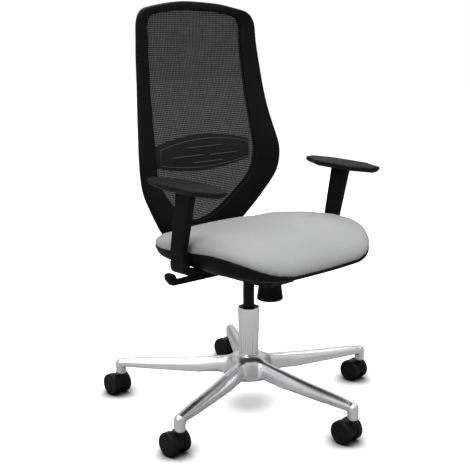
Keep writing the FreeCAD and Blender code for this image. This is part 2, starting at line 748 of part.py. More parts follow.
# ---------------------------------------------------------------- seat
# Along each side, from rear to front: share of the seat's depth, then the height there.
RIM_LINE = [(0, 427), (0.22, 427.5), (0.37, 431), (0.52, 436), (0.66, 440.5), (0.76, 438), (0.86, 430),
            (0.945, 412), (0.985, 398), (1, 392)]
SHELL_SIDE = [(0, 408), (0.2, 402), (0.5, 398), (0.8, 395), (0.9, 389), (1, 384)]
SHELL_FLOOR = [(0, 390), (0.2, 384), (0.8, 384), (0.92, 383), (1, 381.5)]
CROWN_SIDE = [(0, 435), (0.12, 447), (0.22, 451.5), (0.38, 459.5), (0.55, 463), (0.68, 461), (0.8, 454),
              (0.9, 440), (0.96, 426), (1, 410)]
CROWN_MIDDLE = [(0, 438), (0.12, 451), (0.25, 457), (0.4, 459), (0.6, 459), (0.74, 455.5), (0.85, 446.5),
                (0.93, 433), (0.97, 422), (1, 411)]


def seat_half_at(back, inset=0.0):
    """Half the seat's width at a distance back, inside an outline drawn in by inset."""
    half = number("seat_half_width") - inset
    for end, corner, sign in ((number("seat_front") + inset, number("seat_front_corner") - inset, 1),
                              (number("seat_rear") - inset, number("seat_rear_corner") - inset, -1)):
        into = (end + sign * corner - back) * sign
        if into > 0:
            return half - corner + math.sqrt(max(corner ** 2 - into ** 2, 0))
    return half


def seat_share(back):
    return (number("seat_rear") - back) / (number("seat_rear") - number("seat_front"))


def seat_stations(inset=0.0):
    """Distances back at which the seat's sections are drawn, closer together at the rounded ends."""
    front, rear = number("seat_front") + inset, number("seat_rear") - inset
    shares = (0, 0.012, 0.045, 0.1, 0.17, 0.26, 0.4, 0.54, 0.66, 0.76, 0.85, 0.92, 0.965, 0.99, 1)
    return [rear + (front - rear) * share for share in shares]


def seat_loft(corners_at, inset=0.0):
    """Joins closed sections that corners_at(back) gives as (x, z) corners of the right half."""
    wires = []
    for back in seat_stations(inset):
        half = [Vector(x, back, z) for x, z in corners_at(back)]
        other = [Vector(-p.x, p.y, p.z) for p in reversed(half)]
        points = half + other
        wires.append(Part.makePolygon(points + [points[0]]))
    return Part.makeLoft(wires, True, False)


def shell_section(inset, wall, rise):
    """Sections of the tray: its outside with no wall, its hollow with a wall and a rise above the rim."""
    floor_half = number("shell_floor_half") - wall

    def corners(back):
        share = seat_share(back)
        half = seat_half_at(back, inset)
        rim = between(RIM_LINE, share) + rise
        low = between(SHELL_SIDE, share) + wall
        floor = between(SHELL_FLOOR, share) + wall
        flat = min(floor_half, half - 34)
        return [(flat, floor), (half - 20, low), (half - 5, low + 0.3 * (rim - low)),
                (half - 0.5, rim - 7), (half, rim)]
    return corners


def make_seat():
    wall = number("shell_wall")
    outer_inset = number("shell_inset")
    outside = seat_loft(shell_section(outer_inset, 0, 0), outer_inset)
    inside = seat_loft(shell_section(outer_inset + wall, wall, 20), outer_inset + wall)
    room_side, room_back = number("board_half_width") + 0.5, number("board_rear") + 0.5
    room_front = number("board_front") - 0.5
    room = Part.makeBox(2 * room_side, room_back - room_front, 20,
                        Vector(-room_side, room_front, number("plate_top + shell_wall")))
    below = Part.makeBox(2 * number("plate_half_width") + 1, number("plate_rear - plate_front") + 1, 20,
                         Vector(-number("plate_half_width") - 0.5, number("plate_front") - 0.5,
                                number("plate_top") - 20))
    shell = outside.cut(inside).cut(Part.makeCompound([room, below]))
    bolts = [Part.makeCylinder(number("bolt_radius"), 60, Vector(x * number("seat_bolt_side"), number(y),
                                                                 360))
             for x in (-1, 1) for y in ("seat_bolt_front", "seat_bolt_rear")]
    bolts += [Part.makeCylinder(number("bolt_radius"), 60, Vector(x * number(side),
                                                                  number("arm_foot_back"), 360))
              for x in (-1, 1) for side in ("arm_bolt_inner", "arm_bolt_outer")]
    shell = shell.cut(Part.makeCompound(bolts))
    shape_part("seat_shell", shell)
    board = body("seat_board")
    corners, arcs = rounded_rectangle("-board_half_width", "board_half_width", "board_front",
                                      "board_rear", "board_corner")
    slab(board, "XY_Plane", "plate_top + shell_wall", "board_thickness", corners, arcs)
    for side in ("-seat_bolt_side", "seat_bolt_side"):
        for back in ("seat_bolt_front", "seat_bolt_rear"):
            hole(board, "XY_Plane", "plate_top + shell_wall + board_thickness + 1", "board_thickness + 2",
                 side, back, "bolt_radius")
    for side in ("-arm_bolt_inner", "arm_bolt_inner", "-arm_bolt_outer", "arm_bolt_outer"):
        hole(board, "XY_Plane", "plate_top + shell_wall + board_thickness + 1", "board_thickness + 2",
             side, "arm_foot_back", "bolt_radius")
    gap = number("soft_gap")
    plug_inset = outer_inset + wall + 4.0
    plug_bottom = number("plate_top + shell_wall + board_thickness") + gap

    def cushion_section(back):
        share = seat_share(back)
        half = seat_half_at(back)
        rim = between(RIM_LINE, share) + gap
        side = between(CROWN_SIDE, share)
        middle = between(CROWN_MIDDLE, share)
        tall = side - rim
        return [(half - 5, rim), (half - 0.5, rim + 0.14 * tall), (half + 0.5, rim + 0.32 * tall),
                (half - 2, rim + 0.62 * tall), (half - 9, rim + 0.88 * tall), (half - 20, side),
                (half * 0.6, 0.35 * side + 0.65 * middle), (half * 0.25, middle)]

    def plug_section(back):
        half = seat_half_at(back, plug_inset)
        rim = between(RIM_LINE, seat_share(back))
        low = max(min(plug_bottom, rim - 1), between(SHELL_FLOOR, seat_share(back)) + wall + 1)
        return [(max(half - 24, 20), low), (half, max(rim - 12, low + 1)), (half, rim + 4)]

    cushion = seat_loft(cushion_section).fuse(seat_loft(plug_section, plug_inset)).removeSplitter()
    cushion = cushion.cut(shell)
    shape_part("seat_cushion", cushion)


def make_seat_plate():
    plate = body("seat_plate")
    corners, arcs = rounded_rectangle("-plate_half_width", "plate_half_width", "plate_front",
                                      "plate_rear", "plate_corner")
    slab(plate, "XY_Plane", "plate_top - plate_thickness", "plate_thickness", corners, arcs)
    inner = "housing_half_width + side_play"
    for start in (inner, "-(%s + ear_thickness)" % inner):
        slab(plate, "YZ_Plane", start, "ear_thickness",
             [("seat_pivot_back - ear_half_length", "seat_pivot_up"),
              ("seat_pivot_back + ear_half_length", "seat_pivot_up"),
              ("seat_pivot_back + ear_half_length", "plate_top - 1"),
              ("seat_pivot_back - ear_half_length", "plate_top - 1")])
        slab(plate, "YZ_Plane", start, "ear_thickness",
             [("seat_pivot_back - ear_half_length", "seat_pivot_up"),
              ("seat_pivot_back", "seat_pivot_up - ear_half_length"),
              ("seat_pivot_back + ear_half_length", "seat_pivot_up")], {0: "ear_half_length",
                                                                        1: "ear_half_length"})
    hole(plate, "YZ_Plane", inner + " + ear_thickness + 1", "(%s + ear_thickness + 1) * 2" % inner,
         "seat_pivot_back", "seat_pivot_up", "seat_pin_radius + running_play")
    for side in ("-seat_bolt_side", "seat_bolt_side"):
        for back in ("seat_bolt_front", "seat_bolt_rear"):
            hole(plate, "XY_Plane", "plate_top + 1", "plate_thickness + 2", side, back, "bolt_radius")


# ---------------------------------------------------------------- arms
def make_arm():
    """The left arm's upright: a strap under the seat, an elbow and a raked blade."""
    arm = body("arm_upright_left")
    inner, outer = "(arm_centre - arm_thickness / 2)", "(arm_centre + arm_thickness / 2)"
    low, lift, elbow = "(plate_top - strap_thickness)", "strap_lift", "strap_elbow"
    shoulder = "(%s + %s + 2)" % (lift, elbow)
    corners = [("strap_inner", low), ("strap_bend", low), ("%s - 28" % inner, lift),
               ("%s - %s" % (outer, elbow), lift),
               (outer, "%s + %s" % (lift, elbow)), (outer, shoulder + " + 8"), (inner, shoulder + " + 8"),
               (inner, shoulder), ("%s - 8" % inner, "%s + strap_thickness + 1" % lift),
               ("%s - 30" % inner, "%s + strap_thickness - 1" % lift), ("strap_bend + 2", "plate_top"),
               ("strap_inner", "plate_top")]
    slab(arm, "XZ_Plane", "-arm_foot_back - arm_foot_width / 2", "arm_foot_width", corners, {3: elbow})
    plans = [(shoulder, "arm_foot_back", "arm_foot_width"), ("arm_knee", "arm_knee_back", "arm_knee_width"),
             ("arm_top", "arm_top_back", "arm_top_width")]
    sections = []
    for height, back, width in plans:
        corners, arcs = rounded_rectangle(inner, outer, "%s - %s / 2" % (back, width),
                                          "%s + %s / 2" % (back, width),
                                          "arm_edge_radius")
        sections.append(outline(sketch(arm, "XY_Plane", height), corners, arcs))
    blade = arm.newObject("PartDesign::AdditiveLoft", "Blade")
    blade.Profile = sections[0]
    blade.Sections = sections[1:]
    blade.Ruled = True
    for place in ("arm_bolt_inner", "arm_bolt_outer"):
        hole(arm, "XY_Plane", "plate_top + 1", "strap_thickness + 2", place, "arm_foot_back", "bolt_radius")
    return arm


def bevel(owner, across, deep, wanted):
    """Cuts a slope along the picked edges: across the flat face and deep down the wall."""
    doc.recompute()
    base = owner.Tip
    names = ["Edge%d" % (n + 1) for n, edge in enumerate(base.Shape.Edges) if wanted(edge)]
    feature = owner.newObject("PartDesign::Chamfer", "Bevel")
    feature.Base = (base, names)
    feature.ChamferType = "Two distances"
    feature.setExpression("Size", bound(across))
    feature.setExpression("Size2", bound(deep))
    doc.recompute()
    cut_off = number(across) * number(deep) / 2 * number("pad_rear - pad_front")
    if base.Shape.Volume - feature.Shape.Volume < 0.8 * cut_off:
        feature.FlipDirection = True
    return feature


def make_pad():
    """The left arm's pad: a long plan with pointed ends, the rear one leaning outward, bevelled twice."""
    pad = body("arm_pad_left")
    half, tip, end = "pad_half_width", "pad_end_half_width", "pad_end_length"
    middle, heel = "arm_centre", "(arm_centre + pad_rear_skew)"
    corners = [("%s - %s" % (middle, tip), "pad_front"), ("%s + %s" % (middle, tip), "pad_front"),
               ("%s + %s" % (middle, half), "pad_front + " + end), ("%s + %s" % (middle, half),
                                                                    "pad_rear - " + end),
               ("%s + %s" % (heel, tip), "pad_rear"), ("%s - %s" % (heel, tip), "pad_rear"),
               ("%s - %s" % (middle, half), "pad_rear - " + end), ("%s - %s" % (middle, half),
                                                                   "pad_front + " + end)]
    slab(pad, "XY_Plane", "arm_top", "pad_belly + pad_edge + pad_crown", corners)
    ends = number("pad_end_length") - 1
    front, rear = number("pad_front") + ends, number("pad_rear") - ends
    soften(pad, "pad_tip_radius", lambda edge: upright(edge) and not front < edge.CenterOfMass.y < rear)
    soften(pad, "pad_waist_radius", lambda edge: upright(edge) and front < edge.CenterOfMass.y < rear
           and abs(edge.CenterOfMass.x - number("arm_centre")) > number("pad_half_width") - 0.1)
    low, high = number("arm_top"), number("arm_top + pad_belly + pad_edge + pad_crown")
    for height, across, deep in ((low, "pad_belly_slope", "pad_belly"), (high, "pad_crown_slope", "pad_crown")):
        bevel(pad, across, deep, lambda edge: level(edge) and abs(edge.CenterOfMass.z - height) < 0.01)
    return pad


def mirrored_copy(source, label):
    """The other side's twin, mirrored in the chair's middle plane."""
    item = doc.addObject("Part::Mirroring", label)
    item.Source = source
    item.Normal = Vector(1, 0, 0)
    return keep(item, label)


def make_arms():
    mirrored_copy(make_arm(), "arm_upright_right")
    mirrored_copy(make_pad(), "arm_pad_right")


# ---------------------------------------------------------------- back
# The frame's ring from its top centre down one side to its bottom centre, drawn for the widths and heights
# named beside it: outer edge (x, z, y) and inner edge (x, z, y).
RING_WIDTH, RING_OPENING, RING_TOP, RING_BOTTOM = 233.0, 166.5, 985.0, 391.0
RING = [((0, 985, 186), (0, 964, 184)), ((80, 981, 185), (66, 961.5, 183.9)),
        ((140, 971, 180), (118, 955, 183.4)),
        ((176, 958, 173), (143, 946, 182.8)), ((189, 938, 169.5), (151, 932, 182.3)),
        ((193, 905, 167.5), (151.8, 905, 181.3)), ((197.3, 860, 163.5), (153.3, 860, 178)),
        ((203.3, 800, 155), (156.3, 800, 171.8)), ((208.8, 755, 148), (158.9, 755, 165.5)),
        ((216.5, 707, 138), (161.6, 707, 157.5)), ((226, 660, 125.5), (164.7, 660, 148.6)),
        ((232.6, 620, 116), (166.5, 620, 142.4)), ((231.5, 585, 114.6), (163.6, 585, 142)),
        ((222, 548, 119.5), (148.5, 547, 147)), ((205.7, 520, 128), (125.4, 520, 154.6)),
        ((177, 480, 141), (86, 482, 167)), ((145, 440, 156), (50, 455, 177)), ((108, 407, 170),
                                                                               (28, 446, 181)),
        ((60, 394, 181), (13, 442.5, 182.7)), ((0, 391, 185), (0, 441.5, 183))]
# The band's section: share of the way from the inner to the outer edge, and distance back from the front.
BAND = [(0, 0), (0.06, -2.4), (0.3, -3.4), (0.6, -3.4), (0.88, -2.2), (0.985, 0.8), (1, 4), (0.985, 8.5),
        (0.86, 12.5), (0.5, 13.5), (0.2, 13.2), (0, 11.5)]


def ring_point(row, share):
    """A point of the band between the ring's inner edge (share 0) and outer edge (share 1)."""
    (out_x, out_z, out_y), (in_x, in_z, in_y) = row
    wide = number("back_half_width") / RING_WIDTH
    inner_wide = number("opening_half_width") / RING_OPENING
    x = in_x * inner_wide * (1 - share) + out_x * wide * share
    z = ring_height(in_z) * (1 - share) + ring_height(out_z) * share
    return Vector(x, in_y * (1 - share) + out_y * share, z)


def ring_height(height):
    top, bottom = number("back_top"), number("back_bottom")
    return bottom + (height - RING_BOTTOM) * (top - bottom) / (RING_TOP - RING_BOTTOM)


def closed_curve(points):
    """A smooth closed curve through the right side's points and their mirror images."""
    other = [Vector(-p.x, p.y, p.z) for p in reversed(points[1:-1])]
    curve = Part.BSplineCurve()
    curve.interpolate(Points=points + other, PeriodicFlag=True)
    return curve.toShape()


def make_frame():
    depth = number("frame_depth") / 13.5
    edges = []
    for share, back in BAND:
        edges.append(closed_curve([ring_point(row, share) + Vector(0, back * depth, 0) for row in RING]))
    faces = [Part.makeRuledSurface(first, second) for first, second in zip(edges, edges[1:] + edges[:1])]
    skin = Part.makeShell(faces)
    skin.sewShape()
    frame = Part.makeSolid(Part.Shell(skin.Faces))
    if frame.Volume < 0:
        frame.reverse()
    plate_front = number("carrier_plate_back")
    for x in (-1, 1):
        for height in ("back_bolt_low", "back_bolt_high"):
            spot = Vector(x * number("back_bolt_side"), plate_front - 16, number(height))
            frame = frame.cut(Part.makeCylinder(number("bolt_radius"), 40, spot, Vector(0, 1, 0)))
    shape_part("back_frame", frame)


def mesh_back_at(x, z):
    """How far back the mesh's front lies: along the ring's inner edge, and hollow between its sides."""
    rows = sorted((ring_height(inner[1]), inner[2]) for outer, inner in RING)
    top, bottom = rows[-1][0], rows[0][0]
    fade = max(0.0, min(1.0, (top - z) / 90, (z - bottom) / 90))
    half = number("opening_half_width")
    return between(rows, z) + number("mesh_inset") + number("mesh_hollow") * max(0,
                                                                                 1 - (x / half) ** 2) * fade


def curved_slab(offset, thickness):
    """A slab that follows the mesh, offset behind it, over more than the whole opening."""
    half = number("opening_half_width") + 12
    low, high = ring_height(430), ring_height(975)
    columns, rows = 13, 23
    grid = [[Vector(half * (2 * c / (columns - 1) - 1), 0, low + (high - low) * r / (rows - 1))
             for c in range(columns)] for r in range(rows)]
    for row in grid:
        for point in row:
            point.y = mesh_back_at(point.x, point.z) + offset
    surface = Part.BSplineSurface()
    surface.interpolate(grid)
    return surface.toShape().extrude(Vector(0, thickness, 0))


def prism(wire):
    """The space straight behind and in front of an outline drawn at y = 0."""
    face = Part.Face(wire)
    solid = face.extrude(Vector(0, 400, 0))
    return solid


def make_mesh():
    tuck = number("mesh_tuck")
    points = [Vector(p.x, 0, p.z) for p in (ring_point(row, 0) for row in RING)]
    grown = []
    for index, point in enumerate(points):
        before = points[index - 1] if index else Vector(-points[1].x, 0, points[1].z)
        after = points[index + 1] if index + 1 < len(points) else Vector(-points[-2].x, 0, points[-2].z)
        along = (after - before).normalize()
        grown.append(point + Vector(-along.z, 0, along.x) * tuck)
    outline_wire = Part.Wire(closed_curve(grown))
    mesh = curved_slab(0, number("mesh_thickness")).common(prism(outline_wire))
    shape_part("back_mesh", mesh.Solids[0])


def make_lumbar():
    half, middle = number("lumbar_half_width"), number("lumbar_middle")
    end, rise, fall = number("lumbar_end_half"), number("lumbar_rise"), number("lumbar_fall")
    corners = [Vector(half, 0, middle + end), Vector(0, 0, middle + rise), Vector(-half, 0, middle + end),
               Vector(-half, 0, middle - end), Vector(0, 0, middle - fall), Vector(half, 0, middle - end)]
    wire = Part.Wire([Part.Arc(corners[0], corners[1], corners[2]).toShape(),
                      Part.LineSegment(corners[2], corners[3]).toShape(),
                      Part.Arc(corners[3], corners[4], corners[5]).toShape(),
                      Part.LineSegment(corners[5], corners[0]).toShape()])
    gap, thickness = number("lumbar_gap"), number("lumbar_thickness")
    pad = curved_slab(gap, thickness).common(prism(wire)).Solids[0]
    reach = number("lumbar_ear_reach")
    behind = mesh_back_at(half, middle) + gap + thickness
    for sign in (-1, 1):
        left = min(sign * (half - 14), sign * reach)
        ear = Part.makeBox(reach - half + 14, 6, end * 1.2, Vector(left, behind - 1, middle - end * 0.6))
        root = Part.makeBox(14, 7, end * 1.2, Vector(min(sign * (half - 14), sign * half), behind - 6,
                                                     middle - end * 0.6))
        pad = pad.fuse([ear, root])
    shape_part("lumbar_pad", pad.removeSplitter())


# ---------------------------------------------------------------- the whole chair
make_star_base()
make_castors()
make_column()
make_gas_lift()
make_housing()
make_pivots()
make_knob()
make_spring()
make_lever()
make_seat_plate()
make_seat()
bolt_group("seat_bolts", [(side, back) for side in ("-seat_bolt_side", "seat_bolt_side")
                          for back in ("seat_bolt_front", "seat_bolt_rear")],
           "plate_top - plate_thickness", "plate_top + shell_wall + board_thickness - 1", "z")
make_arms()
bolt_group("arm_bolts", [(side, "arm_foot_back") for side in ("-arm_bolt_outer", "-arm_bolt_inner",
                                                              "arm_bolt_inner", "arm_bolt_outer")],
           "plate_top - strap_thickness", "plate_top + shell_wall + board_thickness - 1", "z")
make_carrier()
make_frame()
make_mesh()
make_lumbar()
bolt_group("back_bolts", [(side, height) for side in ("-back_bolt_side", "back_bolt_side")
                          for height in ("back_bolt_low", "back_bolt_high")],
           "carrier_plate_back + carrier_plate_thickness", "carrier_plate_back - 12", "y")
doc.recompute()

faults = [item.Label for item in doc.Objects if "Invalid" in item.State or "Error" in item.State]
faults += [node.Label for node in NODES if node.Shape.isNull() or not node.Shape.isValid()]
if faults:
    raise RuntimeError("these failed: " + ", ".join(faults))
os.makedirs("parts", exist_ok=True)
for node in NODES:
    node.Shape.exportStep("parts/%s.step" % node.Label)
    print("%-20s %2d solid(s) %10.0f mm3" % (node.Label, len(node.Shape.Solids), node.Shape.Volume))
print(len(NODES), "nodes")
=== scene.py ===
# %% [markdown]
# # A swivel chair with a mesh back
# This lesson dresses an engineered chair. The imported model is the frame: every pin, bearing and casting
# is already there, in metres, with the chair facing -Y and standing on z = 0. We keep its hard parts,
# give them real finishes, and build anew the parts whose softness or fine shape a solid modeller can't
# give.

# %% Load the frame
import json
import math
import bpy
import bmesh
import numpy as np
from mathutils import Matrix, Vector


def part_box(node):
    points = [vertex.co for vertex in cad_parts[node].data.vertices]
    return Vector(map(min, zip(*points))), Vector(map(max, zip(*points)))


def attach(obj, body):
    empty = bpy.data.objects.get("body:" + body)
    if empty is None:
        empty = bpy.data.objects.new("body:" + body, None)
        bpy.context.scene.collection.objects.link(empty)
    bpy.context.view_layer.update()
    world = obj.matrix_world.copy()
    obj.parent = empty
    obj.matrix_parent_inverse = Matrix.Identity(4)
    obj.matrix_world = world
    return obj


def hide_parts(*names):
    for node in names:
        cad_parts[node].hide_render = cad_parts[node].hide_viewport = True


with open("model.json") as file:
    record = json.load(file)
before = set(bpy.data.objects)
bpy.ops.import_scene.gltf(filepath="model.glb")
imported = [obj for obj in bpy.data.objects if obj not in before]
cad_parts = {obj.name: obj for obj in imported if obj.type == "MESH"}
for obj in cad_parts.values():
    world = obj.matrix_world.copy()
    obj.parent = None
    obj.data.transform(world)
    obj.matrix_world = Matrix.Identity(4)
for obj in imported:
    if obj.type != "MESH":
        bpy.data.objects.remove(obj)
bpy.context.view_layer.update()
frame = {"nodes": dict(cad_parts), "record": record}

MM = 0.001
nodes = frame["nodes"]

# %% [markdown]
# ## The camera and the light
# The camera comes first, so that every finish can be judged from where the chair is looked at: a little
# above the seat, turned an eighth of a circle, with a long lens that keeps the castors from looking big.

# %% Camera
EYE = Vector((-1.4802, -1.4802, 0.8937))
LOOK_AT = Vector((0, 0, 0.45505))
optics = bpy.data.cameras.new("camera")
optics.sensor_width, optics.lens = 36, 67.845
optics.shift_x, optics.shift_y = -0.02915, -0.02073
camera = bpy.data.objects.new("camera", optics)
bpy.context.scene.collection.objects.link(camera)
camera.location = EYE
camera.rotation_euler = (LOOK_AT - EYE).to_track_quat("-Z", "Y").to_euler()
bpy.context.scene.camera = camera
bpy.context.scene.view_settings.view_transform = "Standard"
print("camera", round((LOOK_AT - EYE).length, 2), "m away")

# %% [markdown]
# Polished metal shows the room, so the room has to hold something to show. The world is a studio: bright
# overhead, with dark gaps between tall soft windows near the horizon. Only reflections and shading see
# it. The camera sees plain white behind the chair.

# %% World


def link(tree, start, output, end, entry):
    tree.links.new(start.outputs[output], end.inputs[entry])


def node(tree, kind, **settings):
    """Adds a node. A setting named in_<socket> fills that input, any other one is the node's own."""
    item = tree.nodes.new(kind)
    for name, value in settings.items():
        if name.startswith("in_"):
            key = name[3:]
            item.inputs[int(key) if key.isdigit() else key].default_value = value
        else:
            setattr(item, name, value)
    return item


def stops(item, *steps):
    """Sets a colour ramp's stops from (place, grey or colour) pairs."""
    ramp = item.color_ramp
    while len(ramp.elements) < len(steps):
        ramp.elements.new(0.5)
    for element, (place, value) in zip(ramp.elements, steps):
        element.position = place
        shade = (value,) * 3 if isinstance(value, (int, float)) else value
        element.color = (*shade, 1)
    return item


world = bpy.data.worlds.new("studio")
bpy.context.scene.world = world
world.use_nodes = True
room = world.node_tree
room.nodes.clear()
way = node(room, "ShaderNodeTexCoord")
split = node(room, "ShaderNodeSeparateXYZ")
height = node(room, "ShaderNodeMapRange", in_1=-1.0, in_2=1.0)
rise = stops(node(room, "ShaderNodeValToRGB"), (0.0, 0.6), (0.5, 0.55), (0.55, 0.45),
             (0.62, 0.6), (0.72, 0.9), (0.8, 0.55), (0.9, 0.85), (1.0, 1.0))
round_about = node(room, "ShaderNodeTexGradient", gradient_type="RADIAL")
windows = stops(node(room, "ShaderNodeValToRGB"), (0.0, 1.0), (0.08, 1.1), (0.13, 0.6),
                (0.2, 0.5), (0.25, 1.0), (0.36, 0.95), (0.42, 0.4), (0.5, 0.35), (0.55, 0.95),
                (0.66, 1.0), (0.71, 0.5), (0.79, 0.5), (0.85, 1.1), (1.0, 1.0))
blend_in = node(room, "ShaderNodeMapRange", in_1=0.25, in_2=0.75, in_3=1.0, in_4=0.0)
studio = node(room, "ShaderNodeMix", data_type="RGBA", blend_type="MULTIPLY")
eye_ray = node(room, "ShaderNodeLightPath")
seen = node(room, "ShaderNodeMix", data_type="RGBA")
seen.inputs[7].default_value = (1, 1, 1, 1)
light = node(room, "ShaderNodeBackground", in_1=1.0)
out = node(room, "ShaderNodeOutputWorld")
link(room, way, "Generated", split, 0)
link(room, split, "Z", height, 0)
link(room, height, 0, rise, 0)
link(room, way, "Generated", round_about, 0)
link(room, round_about, 1, windows, 0)
link(room, split, "Z", blend_in, 0)
link(room, blend_in, 0, studio, 0)
link(room, rise, 0, studio, 6)
link(room, windows, 0, studio, 7)
link(room, eye_ray, "Is Camera Ray", seen, 0)
link(room, studio, 2, seen, 6)
link(room, seen, 2, light, 0)
link(room, light, 0, out, 0)


def soft_light(name, spot, size, power):
    lamp = bpy.data.lights.new(name, "AREA")
    lamp.size, lamp.energy = size, power
    item = bpy.data.objects.new(name, lamp)
    bpy.context.scene.collection.objects.link(item)
    item.location = spot
    item.rotation_euler = (Vector((0, 0, 0.4)) - Vector(spot)).to_track_quat("-Z", "Y").to_euler()


soft_light("overhead", (0.1, 0.0, 3.0), 3.6, 105)
soft_light("from_the_left", (-2.6, -0.6, 2.2), 1.6, 34)
print("world and two soft lights")

# %% [markdown]
# ## Helpers for shapes
# Most pieces here are stacks of closed rings: an outline in plan, drawn in and lifted step by step. One
# function skins such a stack, another draws an outline in by a distance, and a third turns a short table
# of heights into a smooth curve, because straight runs between its rows would show as facets.

# %% Shape helpers


def new_piece(name, points, faces, smooth=True):
    """A mesh object at the origin, merged and facing outward."""
    mesh = bpy.data.meshes.new(name)
    mesh.from_pydata([tuple(p) for p in points], [], faces)
    work = bmesh.new()
    work.from_mesh(mesh)
    bmesh.ops.remove_doubles(work, verts=work.verts, dist=1e-6)
    bmesh.ops.recalc_face_normals(work, faces=work.faces)
    work.to_mesh(mesh)
    work.free()
    mesh.polygons.foreach_set("use_smooth", [smooth] * len(mesh.polygons))
    piece = bpy.data.objects.new(name, mesh)
    bpy.context.scene.collection.objects.link(piece)
    return piece


def skin(name, rings, first=None, last=None):
    """Skins closed rings of equal length; first and last are the points that close the ends."""
    count = len(rings[0])
    points = [p for ring in rings for p in ring]
    faces = [(low + k, low + (k + 1) % count, low + count + (k + 1) % count, low + count + k)
             for low in range(0, (len(rings) - 1) * count, count) for k in range(count)]
    for pole, base in ((first, 0), (last, (len(rings) - 1) * count)):
        if pole is not None:
            points.append(pole)
            faces += [(base + k, base + (k + 1) % count, len(points) - 1) for k in range(count)]
    return new_piece(name, points, faces)


def even(points, count):
    """The same closed outline with evenly spaced points."""
    closed = np.vstack([points, points[:1]])
    run = np.concatenate([[0], np.cumsum(np.linalg.norm(np.diff(closed, axis=0), axis=1))])
    want = np.linspace(0, run[-1], count, endpoint=False)
    return np.stack([np.interp(want, run, closed[:, k]) for k in range(2)], 1)


def drawn_in(outline, distance):
    """An anticlockwise outline moved inward by a distance."""
    along = np.roll(outline, -1, 0) - np.roll(outline, 1, 0)
    inward = np.stack([-along[:, 1], along[:, 0]], 1)
    return outline + distance * inward / np.linalg.norm(inward, axis=1)[:, None]


def eased(table, blur=0.06):
    """A smooth function through a table's rows, which keeps its ends."""
    at, value = (np.array(column, float) for column in zip(*sorted(table)))
    span = at[-1] - at[0]
    fine = np.linspace(at[0] - span / 2, at[-1] + span / 2, 1601)
    rough = np.interp(fine, at, value)
    start = (value[1] - value[0]) / (at[1] - at[0])
    end = (value[-1] - value[-2]) / (at[-1] - at[-2])
    rough = np.where(fine < at[0], value[0] + start * (fine - at[0]), rough)
    rough = np.where(fine > at[-1], value[-1] + end * (fine - at[-1]), rough)
    window = np.hanning(int(blur * 800) * 2 + 3)
    smooth = np.convolve(rough, window / window.sum(), "same")
    return lambda x: np.interp(x, fine, smooth)


def rounded_plan(half, front, rear, front_corner, rear_corner, count):
    """A plan outline, anticlockwise from above, with its own corner radius at the front and the rear."""
    corners = ((half - front_corner, front + front_corner, front_corner, -90),
               (half - rear_corner, rear - rear_corner, rear_corner, 0),
               (rear_corner - half, rear - rear_corner, rear_corner, 90),
               (front_corner - half, front + front_corner, front_corner, 180))
    points = [(x + r * math.cos(math.radians(start + turn)), y + r * math.sin(math.radians(start + turn)))
              for x, y, r, start in corners for turn in range(0, 91, 3)]
    return even(np.array(points), count)


print("helpers ready")

# %% [markdown]
# ## Effects shared by the finishes
# A shader node group is a small machine used in many materials, each with its own settings. Moulded
# plastic has a spark-eroded grain and faint rubbed patches; polished metal has buffing marks that run one
# way; cloth has two sets of threads that cross. The groups put out only heights, masks and tints: the
# shader itself, with its constants, stays in each material.

# %% Node groups


def effect(name, inputs, outputs):
    tree = bpy.data.node_groups.new(name, "ShaderNodeTree")
    for label, kind, value in inputs:
        socket = tree.interface.new_socket(label, in_out="INPUT", socket_type=kind)
        if value is not None:
            socket.default_value = value
    for label in outputs:
        tree.interface.new_socket(label, in_out="OUTPUT", socket_type="NodeSocketFloat")
    return tree, node(tree, "NodeGroupInput"), node(tree, "NodeGroupOutput")


def combine(tree, operation, first, second):
    """A math node on two things, each a number or a (node, output) pair."""
    item = node(tree, "ShaderNodeMath", operation=operation)
    for entry, thing in enumerate((first, second)):
        if isinstance(thing, tuple):
            link(tree, thing[0], thing[1], item, entry)
        elif thing is not None:
            item.inputs[entry].default_value = thing
    return item


FLOAT, VECTOR = "NodeSocketFloat", "NodeSocketVector"
grain, into, outof = effect("moulded grain", [("Place", VECTOR, None), ("Grain", FLOAT, 900),
                                              ("Patch", FLOAT, 9)], ["Height", "Rubbed"])
pits = node(grain, "ShaderNodeTexNoise", in_Detail=3.0, in_Roughness=0.6)
cells = node(grain, "ShaderNodeTexVoronoi")
patches = node(grain, "ShaderNodeTexNoise", in_Detail=4.0, in_Roughness=0.55)
for item, scale in ((pits, "Grain"), (cells, "Grain"), (patches, "Patch")):
    link(grain, into, "Place", item, "Vector")
    link(grain, into, scale, item, "Scale")
both = combine(grain, "ADD", (pits, 0), (cells, 0))
link(grain, both, 0, outof, "Height")
rubbed = node(grain, "ShaderNodeMapRange", in_1=0.35, in_2=0.68)
link(grain, patches, 0, rubbed, 0)
link(grain, rubbed, 0, outof, "Rubbed")

buffing, into, outof = effect("buffing marks", [("Place", VECTOR, None), ("Stretch", VECTOR, (40, 40, 900))],
                              ["Height", "Haze"])
scaled = node(buffing, "ShaderNodeVectorMath", operation="MULTIPLY")
link(buffing, into, "Place", scaled, 0)
link(buffing, into, "Stretch", scaled, 1)
lines = node(buffing, "ShaderNodeTexNoise", in_Scale=1.0, in_Detail=4.0, in_Roughness=0.6)
link(buffing, scaled, 0, lines, "Vector")
haze = node(buffing, "ShaderNodeTexNoise", in_Scale=14.0, in_Detail=3.0)
link(buffing, into, "Place", haze, "Vector")
link(buffing, lines, 0, outof, "Height")
link(buffing, haze, 0, outof, "Haze")

